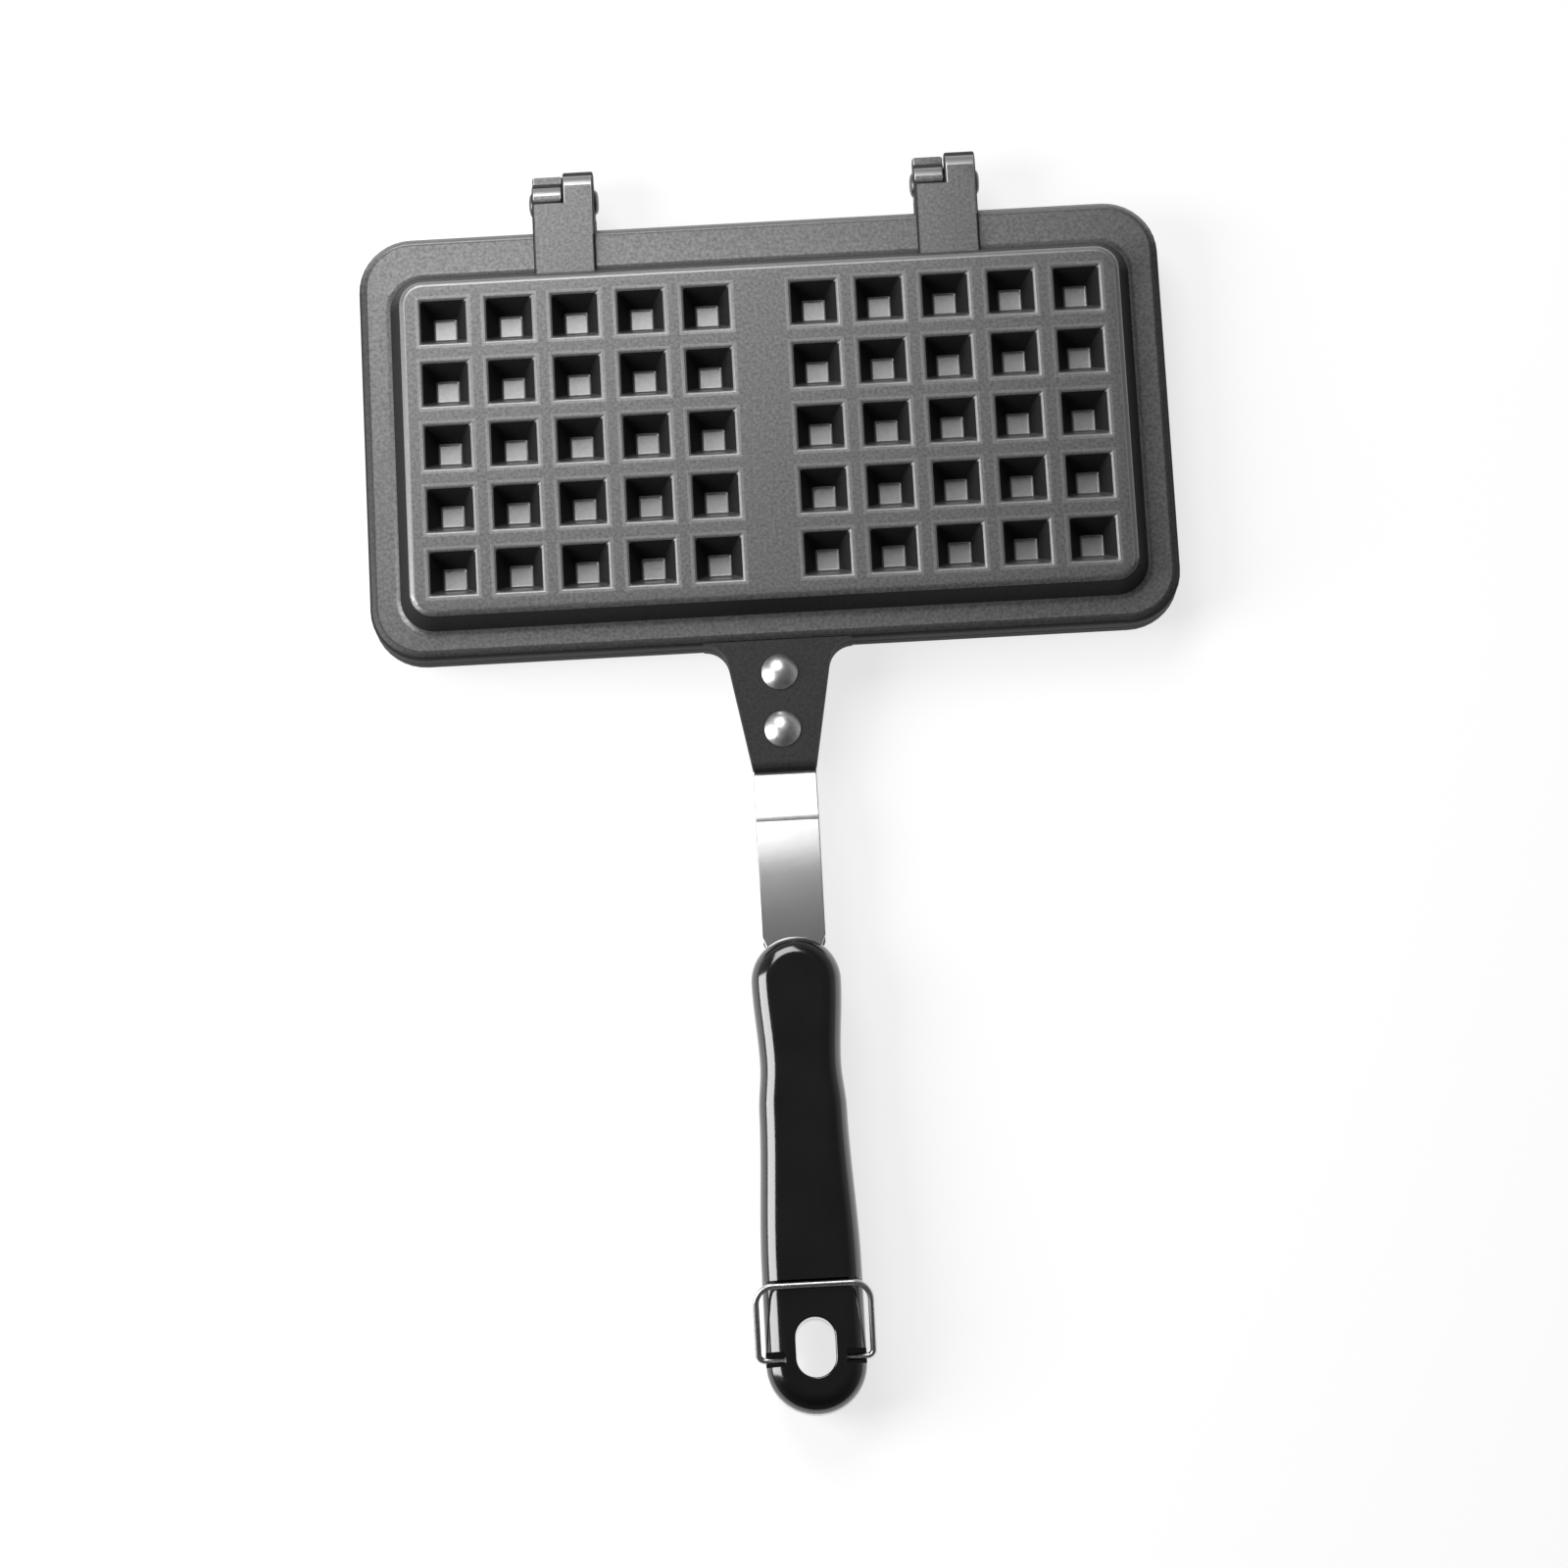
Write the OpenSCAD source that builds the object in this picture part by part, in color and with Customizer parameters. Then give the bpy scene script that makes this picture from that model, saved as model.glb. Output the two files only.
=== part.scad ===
// Two-slice stovetop waffle iron: two identical cast plates on a split hinge,
// each with a riveted steel strap and a moulded grip, closed by a wire bail.
// X runs across the plates, Y from the grips to the hinge, Z up.
// The origin is the centre of the lower plate's outer face, on which it stands.

/* [Waffle grid] */
// Waffle squares across each of the two blocks
block_cols = 5; // [3:1:6]
// Waffle squares from grip side to hinge side
grid_rows = 5; // [3:1:6]
// Spacing of the squares across
pitch_x = 19; // [17:0.5:22]
// Spacing of the squares from grip side to hinge side
pitch_y = 18.65; // [17:0.05:22]
// Flat strip between the two blocks, pit edge to pit edge
strip_w = 17.75; // [10:0.25:26]
// Mouth of a pit across
pit_w = 13.2; // [11:0.1:14.5]
// Mouth of a pit from grip side to hinge side
pit_d = 12.75; // [11:0.05:14.5]
// How far each pit wall leans in from mouth to floor
pit_lean = 3.2; // [2:0.1:4]
// Depth of a pit below the outer face
pit_depth = 9.2; // [6:0.1:9.6]
// Metal between a pit's side and the waffle cavity
pit_wall = 1.6; // [1.2:0.1:2]
// Metal between a pit's floor and the waffle cavity
pit_floor = 1.8; // [1.4:0.1:2]

/* [Plate] */
// Outer face from the last pit to the face's edge
panel_margin = 5.7; // [4:0.1:9]
// Height of the raised panel above the flange
panel_h = 7; // [5:0.1:9]
// How far the panel's sloping wall runs out
panel_run = 3.6; // [2:0.1:5]
// Corner radius of the panel's outer face
panel_r = 6.5; // [4:0.5:9]
// Thickness of the flange
flange_t = 6.5; // [5:0.1:8]
// Flange width at the two sides
flange_side = 8.9; // [6:0.1:12]
// Flange width on the grip side
flange_near = 7.6; // [6:0.1:12]
// Flange width on the hinge side
flange_far = 12.3; // [10:0.1:16]
// Corner radius of the flange
flange_r = 15.5; // [10:0.5:20]
// Rounding of the flange's outer edge
flange_edge = 2.5; // [1:0.1:3]
// Thickness of the cavity's ceiling
ceiling_t = 2.6; // [2:0.1:3]
// Thickness of the cavity's side wall
wall_t = 3; // [2.4:0.1:4]
// Draft of the cavity's side wall
cavity_draft = 3.3; // [1:0.1:4]
// Corner radius of the cavity's ceiling
cavity_r = 4; // [2:0.5:6]

/* [Hinge] */
// Distance of each hinge lug from the middle
lug_x = 55.8; // [40:0.1:75]
// Width of a hinge lug
lug_w = 18; // [14:0.5:24]
// Top of a lug above the parting plane
lug_h = 9; // [8.5:0.1:11]
// Hinge axis beyond the flange
hinge_out = 10.1; // [9.5:0.1:14]
// Radius of a knuckle round the pin
knuckle_r = 6; // [5:0.1:6.5]
// Reach of a knuckle's hook beyond the axis
hook_out = 8.3; // [7.5:0.1:8.8]
// Rounding of the hook's top corner
hook_r = 6.5; // [4:0.1:7]
// Depth of the hook's end below the axis
hook_drop = 0.5; // [0:0.1:1]
// The notched half of a lug stops this far short of the axis
notch_back = 2.7; // [2:0.1:4]
// Side gap between two knuckles
knuckle_gap = 0.3; // [0.2:0.05:0.6]
// Gap round a knuckle in the other plate's notch
notch_clear = 0.3; // [0.2:0.05:0.6]
// Half the gap between the two plates' lugs
lug_clear = 0.2; // [0.1:0.05:0.5]
// Radius of a hinge pin
pin_r = 2.5; // [2:0.1:3]
// Radial running clearance of the pin
pin_clear = 0.05; // [0.02:0.01:0.1]
// Radius of a peened pin head
pin_head_r = 3.6; // [3.3:0.1:4.5]
// Height of a peened pin head
pin_head_h = 1.1; // [0.6:0.1:1.6]
// Side play of the pin heads
pin_play = 0.1; // [0.05:0.05:0.3]

/* [Neck and rivets] */
// Length of the cast neck from the flange
neck_len = 37.4; // [32:0.1:45]
// Width of the neck at its end
neck_end_w = 17.6; // [15:0.1:20]
// Width of the neck where its sides meet the flange
neck_root_w = 31; // [26:0.5:38]
// Fillet between neck and flange
neck_fillet = 7; // [3:0.5:10]
// Thickness of the neck over the strap
neck_t = 3.2; // [2.5:0.1:4.5]
// Rounding of the neck's end
neck_nose = 2.8; // [1:0.1:3]
// First rivet's distance from the flange
rivet_first = 9; // [8:0.1:12]
// Spacing of the two rivets
rivet_pitch = 16.6; // [13:0.1:19]
// Radius of a rivet's domed head
rivet_head_r = 5.4; // [4.5:0.1:6]
// Height of a rivet's domed head
rivet_head_h = 2.4; // [1.5:0.1:3]
// Radius of a rivet's shank
rivet_r = 2.5; // [2:0.1:3]
// Radius of a rivet's flush tail
rivet_tail_r = 3.8; // [3.2:0.1:4.5]
// Depth of a rivet's flush tail
rivet_tail_h = 1.2; // [0.8:0.1:1.6]
// Radial clearance of a rivet in its hole
rivet_clear = 0.05; // [0.02:0.01:0.1]

/* [Strap] */
// Width of the steel strap
strap_w = 18; // [15:0.1:20]
// Thickness of the strap
strap_t = 2; // [1.5:0.1:2.5]
// Gap under the strap to the parting plane
strap_lift = 0.3; // [0.2:0.1:1]
// Distance from the flange to the strap's hidden end
strap_back = 1.5; // [0.5:0.1:3]
// The ramp starts this far past the neck
ramp_gap = 1.2; // [0.5:0.1:3]
// Length of the ramp
ramp_len = 13; // [9:0.1:18]
// Rise of the ramp
ramp_rise = 3.7; // [2.5:0.1:4.2]
// Length of the arched stretch between ramp and grip
arch_len = 34; // [24:0.5:50]
// Rise of the arched stretch
arch_rise = 2; // [1:0.1:2.4]
// Width of the tang inside the grip
tang_w = 12; // [8:0.5:14]
// Length of the tang inside the grip
tang_len = 88; // [75:1:90]
// The full width of the strap goes this far into the grip
shoulder_in = 7; // [5:0.5:12]
// Clearance of the strap in its slot
strap_clear = 0.1; // [0.05:0.05:0.3]

/* [Grip] */
// Length of a grip
grip_len = 133.5; // [125:0.5:145]
// Height of a grip's back above the parting plane
grip_h = 12; // [11.5:0.1:14]
// Half the gap between the two grips
grip_clear = 0.4; // [0.2:0.1:1]
// Rounding of a grip's back
grip_round = 6; // [4:0.5:7]
// Half width at the front end
front_r = 12.7; // [11.5:0.1:14]
// Half width at the waist
waist_r = 11.45; // [10.5:0.05:13]
// Distance of the waist from the front end
waist_at = 36.5; // [30:0.5:42]
// Half width at the swell
swell_r = 12.4; // [11:0.1:14]
// Distance of the swell from the front end
swell_at = 49; // [44:0.5:60]
// Half width at the rear
rear_r = 14; // [13:0.1:14.4]
// Distance of the full rear width from the front end
rear_at = 93; // [80:0.5:100]
// Depth of the lowered rear back on which the bail lies
seat_drop = 2.5; // [2:0.1:3]
// Width of the hang hole
hang_w = 11; // [8:0.5:12]
// Length of the hang hole
hang_len = 16.5; // [13:0.5:18]
// Distance of the hang hole from the rear end
hang_end = 10.1; // [8:0.1:12]

/* [Grip screw] */
// Distance of the screw from the tang's hidden end
screw_back = 18; // [10:0.5:28]
// Radius of the screw's shank
screw_r = 2; // [1.5:0.1:2.5]
// Radius of the screw's head
screw_head_r = 3.6; // [3:0.1:4.5]
// Height of the screw's head
screw_head_h = 2; // [1.5:0.1:2.5]
// Screw head below the grip's inner face
screw_sink = 0.3; // [0.1:0.1:1]
// Screw past the tang
screw_past = 1; // [0.5:0.1:1.5]
// Length of each bar of the screw's cross recess
cross_len = 4; // [3:0.1:4.4]
// Width of each bar of the cross recess
cross_w = 0.9; // [0.6:0.1:1.2]
// Depth of the cross recess
cross_deep = 1; // [0.5:0.1:1.2]
// Radial clearance of the screw in the grip and tang
screw_clear = 0.1; // [0.05:0.05:0.3]

/* [Bail] */
// Radius of the bail wire
wire_r = 0.9; // [0.7:0.05:1.1]
// Width of the bail, wire centre to wire centre
bail_w = 32; // [31.6:0.1:36]
// Distance from the bail's pivot to its crossbar along the grip
bail_reach = 20; // [19:0.1:21]
// Corner radius of the bail
bail_r = 5; // [3:0.5:7]
// Bend radius of the bail's turned-in ends
bail_end_r = 1.8; // [1.5:0.1:2.2]
// Distance of the bail's pivot from the grip's rear end
pivot_end = 15.5; // [14:0.1:16.5]
// Height of the bail's pivot above the parting plane
pivot_h = 4.2; // [3.6:0.1:5]
// The bail's ends stop this far from the middle
bail_end_x = 6.4; // [6:0.1:7]
// Inner end of the grip's side slots, from the middle
slot_in = 8.3; // [7.8:0.1:9.5]
// Width of the grip's side slots
slot_w = 4.2; // [3:0.1:5]
// Depth of the side slots below the pivot
slot_deep = 1.6; // [1.3:0.1:2.4]
// Running clearance of the wire in the grip
wire_clear = 0.08; // [0.04:0.01:0.1]
// Gap between the lying bail and the grip
bail_gap = 0.3; // [0.2:0.05:0.5]
// Gap between the lying bail and the step in the grip's back
step_gap = 0.6; // [0.3:0.05:1.5]

/* [Hidden] */
$fn = 64;

// Overshoot of a cut past the face that it opens
over = 1;

// Half the thickness of the closed iron: the parting plane's height
half_h = flange_t + panel_h;

// Centres of the pits
block_x = strip_w / 2 + pit_w / 2;
col_x = [for (side = [-1, 1]) for (i = [0:block_cols - 1]) side * (block_x + i * pitch_x)];
row_y = [for (i = [0:grid_rows - 1]) (i - (grid_rows - 1) / 2) * pitch_y];

// Half sizes of the raised panel's face and foot
face_x = block_x + (block_cols - 1) * pitch_x + pit_w / 2 + panel_margin;
face_y = (grid_rows - 1) / 2 * pitch_y + pit_d / 2 + panel_margin;
foot_x = face_x + panel_run;
foot_y = face_y + panel_run;

// Outline of the flange
rim_x = foot_x + flange_side;
near_y = -foot_y - flange_near;
far_y = foot_y + flange_far;

// Waffle cavity
cavity_h = half_h - ceiling_t;
cavity_in = panel_run * ceiling_t / panel_h - wall_t;
post_h = pit_depth + pit_floor;

// Length that passes right through the plate
through = 4 * rim_x;

// Hinge axis, in the parting plane
hinge_y = far_y + hinge_out;

// Neck, strap and grip along the handle
neck_top = strap_lift + strap_t + neck_t;
neck_y = near_y - neck_len;
ramp_y = neck_y - ramp_gap;
crease_y = ramp_y - ramp_len;
front_y = crease_y - arch_len;
strap_mid = strap_lift + strap_t / 2;
tang_z = strap_mid + ramp_rise + arch_rise;
arch_r = (arch_len * arch_len + arch_rise * arch_rise) / (2 * arch_rise);
rear_y = front_y - grip_len;
rivet_y = [near_y - rivet_first, near_y - rivet_first - rivet_pitch];
screw_y = front_y - tang_len + screw_back;

// Bail, with its pivot in the upper grip
pivot_y = rear_y + pivot_end;
seat_h = grip_h - seat_drop;
seat_y = pivot_y + bail_reach + wire_r + step_gap;
bar_rise = seat_h + wire_r + bail_gap - pivot_h;
bail_len = sqrt(bail_reach * bail_reach + bar_rise * bar_rise);
bail_tilt = atan2(bar_rise, bail_reach);
hang_y = rear_y + hang_end + hang_len / 2;

// Rounds a size so that neighbouring pieces of a block meet without a sliver
function thousandths(v) = round(v * 1000) / 1000;

// Block with rounded upright corners. The child is the profile of its edge,
// drawn from the corner's axis at x = 0 out to x = r
module edged_block(x, y0, y1, r, z0, z1) {
    dx = thousandths(x - r);
    ya = thousandths(y0 + r);
    yb = thousandths(y1 - r);
    for (side = [0, 1])
        mirror([side, 0, 0]) {
            translate([dx, yb, 0])
                rotate_extrude(angle = 90)
                    children();
            translate([dx, ya, 0])
                rotate(-90)
                    rotate_extrude(angle = 90)
                        children();
            translate([dx, yb, 0])
                rotate([90, 0, 0])
                    linear_extrude(yb - ya)
                        children();
        }
    translate([-dx, yb, 0])
        rotate([90, 0, 90])
            linear_extrude(2 * dx)
                children();
    translate([dx, ya, 0])
        rotate([90, 0, -90])
            linear_extrude(2 * dx)
                children();
    translate([-dx, ya, z0])
        cube([2 * dx, yb - ya, z1 - z0]);
}

// Edge profile that leans in by run between z0 and z1
module sloped_edge(r, z0, z1, run) {
    polygon([[0, z0], [r, z0], [r - run, z1], [0, z1]]);
}

// Fifty frustums at once: columns cut by rows
module frustums(half_x, half_y, z0, z1, lean) {
    intersection() {
        rotate([90, 0, 0])
            linear_extrude(through, center = true)
                for (x = col_x)
                    trapezoid(x, half_x, z0, z1, lean);
        rotate([90, 0, 90])
            linear_extrude(through, center = true)
                for (y = row_y)
                    trapezoid(y, half_y, z0, z1, lean);
    }
}

// Half width at z1, narrower by lean at z0
module trapezoid(middle, half, z0, z1, lean) {
    polygon([
        [middle - half + lean, z0],
        [middle + half - lean, z0],
        [middle + half, z1],
        [middle - half, z1]
    ]);
}

// Flange with its rounded outer edge
module flange() {
    edged_block(rim_x, near_y, far_y, flange_r, 0, flange_t) {
        square([flange_r - flange_edge, flange_t]);
        square([flange_r, flange_t - flange_edge]);
        translate([flange_r - flange_edge, flange_t - flange_edge])
            circle(flange_edge);
    }
}

// Raised panel. Its sloping wall goes on down into the flange
module panel() {
    sunk = over * panel_run / panel_h;
    r = panel_r + panel_run + sunk;
    edged_block(foot_x + sunk, -foot_y - sunk, foot_y + sunk, r, flange_t - over, half_h)
        sloped_edge(r, flange_t - over, half_h, panel_run + sunk);
}

// Space inside the plate, with the posts that stand in it
module cavity() {
    sunk = cavity_draft * over / cavity_h;
    grow = cavity_in + cavity_draft + sunk;
    x = face_x + grow;
    y = face_y + grow;
    r = cavity_r + cavity_draft + sunk;
    difference() {
        edged_block(x, -y, y, r, -over, cavity_h)
            sloped_edge(r, -over, cavity_h, cavity_draft + sunk);
        posts();
    }
}

// Posts round the pits: the pit's own slope, one wall further out
module posts() {
    slope = pit_lean / pit_depth;
    z0 = half_h - post_h;
    grow = pit_wall + slope * over;
    frustums(
        pit_w / 2 + grow,
        pit_d / 2 + grow,
        z0,
        half_h + over,
        slope * (post_h + over)
    );
}

// Pits in the outer face
module pits() {
    slope = pit_lean / pit_depth;
    frustums(
        pit_w / 2 + slope * over,
        pit_d / 2 + slope * over,
        half_h - pit_depth,
        half_h + over,
        slope * (pit_depth + over)
    );
}

// Extrudes a side view, drawn as [y, z], across the lug from x0 to x1
module across(x0, x1) {
    translate([x0, 0, 0])
        rotate([90, 0, 90])
            linear_extrude(x1 - x0)
                children();
}

// Side view of the lug's slab, which stands on the flange and passes its edge
module lug_slab(y_end) {
    root = face_y + panel_run * (half_h - lug_h) / panel_h - over / 2;
    polygon([
        [root, flange_t - over],
        [far_y - flange_edge, flange_t - over],
        [far_y - flange_edge, lug_clear],
        [y_end, lug_clear],
        [y_end, lug_h],
        [root, lug_h]
    ]);
}

// Side view of the knuckle's hook, with its rounded top corner
module hook() {
    corner = [hinge_y + hook_out - hook_r, lug_h - hook_r];
    translate(corner)
        intersection() {
            circle(hook_r);
            square(hook_r);
        }
    polygon([
        [hinge_y, -hook_drop],
        [hinge_y + hook_out, -hook_drop],
        [hinge_y + hook_out, corner[1]],
        [corner[0], corner[1]],
        [corner[0], lug_h],
        [hinge_y, lug_h]
    ]);
}

// Lug with a knuckle on its right half and a notch for the other plate's on its left
module lug() {
    difference() {
        union() {
            across(-lug_w / 2, knuckle_gap / 2)
                lug_slab(hinge_y - notch_back);
            across(knuckle_gap / 2, lug_w / 2) {
                lug_slab(hinge_y);
                hook();
                translate([hinge_y, 0])
                    circle(knuckle_r);
            }
        }
        translate([-lug_w / 2 - over, hinge_y, 0])
            rotate([0, 90, 0])
                cylinder(r = knuckle_r + notch_clear, h = lug_w / 2 + over + knuckle_gap / 2);
        translate([0, hinge_y, 0])
            rotate([0, 90, 0])
                cylinder(r = pin_r + pin_clear, h = lug_w);
    }
}

// Plan of the neck's right side: straight taper with a fillet into the flange
module neck_plan() {
    k = (neck_root_w - neck_end_w) / 2 / neck_len;
    n = sqrt(1 + k * k);
    centre = [
        neck_root_w / 2 - k * neck_fillet + n * neck_fillet,
        near_y - neck_fillet
    ];
    inside = near_y + flange_edge;
    for (side = [0, 1])
        mirror([side, 0])
            difference() {
                polygon([
                    [0, neck_y],
                    [neck_end_w / 2, neck_y],
                    [centre[0] - neck_fillet / n, centre[1] + k * neck_fillet / n],
                    [centre[0], near_y],
                    [centre[0], inside],
                    [0, inside]
                ]);
                translate(centre)
                    circle(neck_fillet);
            }
}

// Side view of the neck, with its rounded nose
module neck_side() {
    translate([neck_y + neck_nose, neck_top - neck_nose])
        intersection() {
            circle(neck_nose);
            translate([-neck_nose, 0])
                square(neck_nose);
        }
    polygon([
        [neck_y, strap_lift],
        [near_y + over + flange_edge, strap_lift],
        [near_y + over + flange_edge, neck_top],
        [neck_y + neck_nose, neck_top],
        [neck_y + neck_nose, neck_top - neck_nose],
        [neck_y, neck_top - neck_nose]
    ]);
}

// Cast neck, channelled underneath for the strap
module neck() {
    difference() {
        intersection() {
            linear_extrude(half_h)
                neck_plan();
            across(-rim_x, rim_x)
                neck_side();
        }
        translate([-strap_w / 2 - strap_clear, neck_y - over, 0])
            cube([
                strap_w + 2 * strap_clear,
                near_y - strap_back + strap_clear - neck_y + over,
                strap_lift + strap_t
            ]);
        for (y = rivet_y)
            translate([0, y, 0])
                cylinder(r = rivet_r + rivet_clear, h = half_h);
    }
}

// One plate casting. Turned over about the handle's line it is also the other plate
module plate_casting() {
    difference() {
        union() {
            flange();
            panel();
        }
        cavity();
        pits();
    }
    for (x = [-lug_x, lug_x])
        translate([x, 0, 0])
            lug();
    neck();
}

// Side view of the strap's bent line, as [y, z] of its middle
module strap_side() {
    half = strap_t / 2;
    bend_z = strap_mid + ramp_rise;
    tang_end = front_y - tang_len;
    polygon([
        [near_y - strap_back, strap_mid - half],
        [near_y - strap_back, strap_mid + half],
        [ramp_y, strap_mid + half],
        [crease_y, bend_z + half],
        [crease_y, bend_z - half],
        [ramp_y, strap_mid - half]
    ]);
    intersection() {
        translate([front_y, tang_z - arch_r])
            difference() {
                circle(arch_r + half, $fn = 360);
                circle(arch_r - half, $fn = 360);
            }
        translate([front_y, 0])
            square([arch_len, half_h]);
    }
    translate([tang_end, tang_z - half])
        square([tang_len, strap_t]);
}

// Plan of the strap, stepped in to the tang
module strap_plan() {
    step_y = front_y - shoulder_in;
    translate([-strap_w / 2, step_y])
        square([strap_w, near_y - step_y]);
    translate([-tang_w / 2, front_y - tang_len])
        square([tang_w, tang_len]);
}

// Steel strap
module strap() {
    difference() {
        intersection() {
            across(-strap_w / 2, strap_w / 2)
                strap_side();
            linear_extrude(half_h)
                strap_plan();
        }
        for (y = rivet_y)
            translate([0, y, 0]) {
                cylinder(r = rivet_r + rivet_clear, h = half_h);
                translate([0, 0, strap_lift])
                    cylinder(
                        r1 = rivet_tail_r + rivet_clear,
                        r2 = rivet_r + rivet_clear,
                        h = rivet_tail_h
                    );
            }
        translate([0, screw_y, 0])
            cylinder(r = screw_r + screw_clear, h = half_h);
    }
}

// Rivet with a domed head above and a flush tail in the strap
module rivet() {
    dome_r = (rivet_head_r * rivet_head_r + rivet_head_h * rivet_head_h) / (2 * rivet_head_h);
    translate([0, 0, strap_lift]) {
        cylinder(r1 = rivet_tail_r, r2 = rivet_r, h = rivet_tail_h);
        cylinder(r = rivet_r, h = neck_top - strap_lift);
    }
    intersection() {
        translate([0, 0, neck_top + rivet_head_h - dome_r])
            sphere(dome_r);
        translate([0, 0, neck_top])
            cylinder(r = rivet_head_r + over, h = rivet_head_h + over);
    }
}

// Round pad of the grip's section, with a rounded top edge
module grip_pad(at, r, top) {
    translate([0, front_y - at, 0])
        rotate_extrude($fn = 32)
            polygon(concat(
                [[0, grip_clear], [r, grip_clear]],
                [for (a = [0:18:90])
                    [r - grip_round * (1 - cos(a)), top - grip_round * (1 - sin(a))]],
                [[0, top]]
            ));
}

// Everything of the grip from y0 on towards the hinge, for cutting away
module grip_from(y0) {
    translate([-rear_r - over, y0, -over])
        cube([2 * (rear_r + over), grip_len, half_h + over]);
}

// Grip's body: hulled from pad to pad, with a lower back behind the step
module grip_body() {
    rear_pad = grip_len - rear_r;
    difference() {
        union() {
            hull() {
                grip_pad(front_r, front_r, grip_h);
                grip_pad(waist_at, waist_r, grip_h);
            }
            hull() {
                grip_pad(waist_at, waist_r, grip_h);
                grip_pad(swell_at, swell_r, grip_h);
            }
            hull() {
                grip_pad(swell_at, swell_r, grip_h);
                grip_pad(rear_at, rear_r, grip_h);
            }
            hull() {
                grip_pad(rear_at, rear_r, grip_h);
                grip_pad(rear_pad, rear_r, grip_h);
            }
        }
        grip_from(seat_y - grip_len);
    }
    difference() {
        hull() {
            grip_pad(rear_at, rear_r, seat_h);
            grip_pad(rear_pad, rear_r, seat_h);
        }
        grip_from(seat_y + over);
    }
}

// Slots and blind bores for the bail's turned-in ends
module bail_seats() {
    for (side = [0, 1])
        mirror([side, 0, 0]) {
            translate([slot_in, pivot_y - slot_w / 2, pivot_h - slot_deep])
                cube([rear_r, slot_w, grip_h]);
            translate([bail_end_x - bail_gap, pivot_y, pivot_h])
                rotate([0, 90, 0])
                    cylinder(r = wire_r + wire_clear, h = rear_r);
        }
}

// Hang hole with round ends
module hang_hole() {
    half = (hang_len - hang_w) / 2;
    for (side = [-1, 1])
        translate([0, hang_y + side * half, -over])
            cylinder(r = hang_w / 2, h = half_h + over);
    translate([-hang_w / 2, hang_y - half, -over])
        cube([hang_w, 2 * half, half_h + over]);
}

// Moulded grip with its tang slot, screw hole, bail seat and hang hole
module grip() {
    slot_z = tang_z - strap_t / 2 - strap_clear;
    slot_h = strap_t + 2 * strap_clear;
    head_top = grip_clear + screw_sink + screw_head_h;
    difference() {
        grip_body();
        translate([-strap_w / 2 - strap_clear, front_y - shoulder_in - strap_clear, slot_z])
            cube([strap_w + 2 * strap_clear, shoulder_in + strap_clear + over, slot_h]);
        translate([-tang_w / 2 - strap_clear, front_y - tang_len - strap_clear, slot_z])
            cube([tang_w + 2 * strap_clear, tang_len + strap_clear, slot_h]);
        translate([0, screw_y, 0]) {
            cylinder(r = screw_head_r + screw_clear, h = head_top);
            cylinder(
                r = screw_r + screw_clear,
                h = tang_z + strap_t / 2 + screw_past + screw_clear
            );
        }
        bail_seats();
        hang_hole();
    }
}

// Screw from the grip's inner face up through the tang
module grip_screw() {
    bottom = grip_clear + screw_sink;
    translate([0, screw_y, bottom])
        difference() {
            union() {
                cylinder(r = screw_head_r, h = screw_head_h);
                cylinder(r = screw_r, h = tang_z + strap_t / 2 + screw_past - bottom);
            }
            for (turn = [0, 90])
                rotate(turn)
                    translate([-cross_len / 2, -cross_w / 2, -over])
                        cube([cross_len, cross_w, over + cross_deep]);
        }
}

// Peened pin through both knuckles of one lug
module hinge_pin() {
    half = lug_w / 2 + pin_play;
    dome_r = (pin_head_r * pin_head_r + pin_head_h * pin_head_h) / (2 * pin_head_h);
    translate([0, hinge_y, half_h])
        rotate([0, 90, 0]) {
            cylinder(r = pin_r, h = 2 * half, center = true);
            for (side = [0, 1])
                mirror([0, 0, side])
                    intersection() {
                        translate([0, 0, half + pin_head_h - dome_r])
                            sphere(dome_r);
                        translate([0, 0, half])
                            cylinder(r = pin_head_r + over, h = pin_head_h + over);
                    }
        }
}

// Straight piece of bail wire
module wire(length) {
    cylinder(r = wire_r, h = length);
}

// Quarter bend of bail wire from +X towards +Y, round the origin
module wire_bend(r) {
    rotate_extrude(angle = 90)
        translate([r, 0])
            circle(wire_r);
}

// Bail, drawn flat with its pivot on the X axis and its crossbar at +Y
module bail_flat() {
    leg = bail_w / 2;
    for (side = [0, 1])
        mirror([side, 0, 0]) {
            translate([bail_end_x, 0, 0])
                rotate([0, 90, 0])
                    wire(leg - bail_end_r - bail_end_x);
            translate([leg - bail_end_r, bail_end_r, 0])
                rotate(-90)
                    wire_bend(bail_end_r);
            translate([leg, bail_end_r, 0])
                rotate([-90, 0, 0])
                    wire(bail_len - bail_r - bail_end_r);
            translate([leg - bail_r, bail_len - bail_r, 0])
                wire_bend(bail_r);
        }
    translate([bail_r - leg, bail_len, 0])
        rotate([0, 90, 0])
            wire(2 * (leg - bail_r));
}

// Puts a piece drawn from the parting plane up into the upper half
module in_upper() {
    translate([0, 0, half_h])
        children();
}

// Turns the same piece over about the handle's line into the lower half
module in_lower() {
    translate([0, 0, half_h])
        rotate([0, 180, 0])
            children();
}

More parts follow.
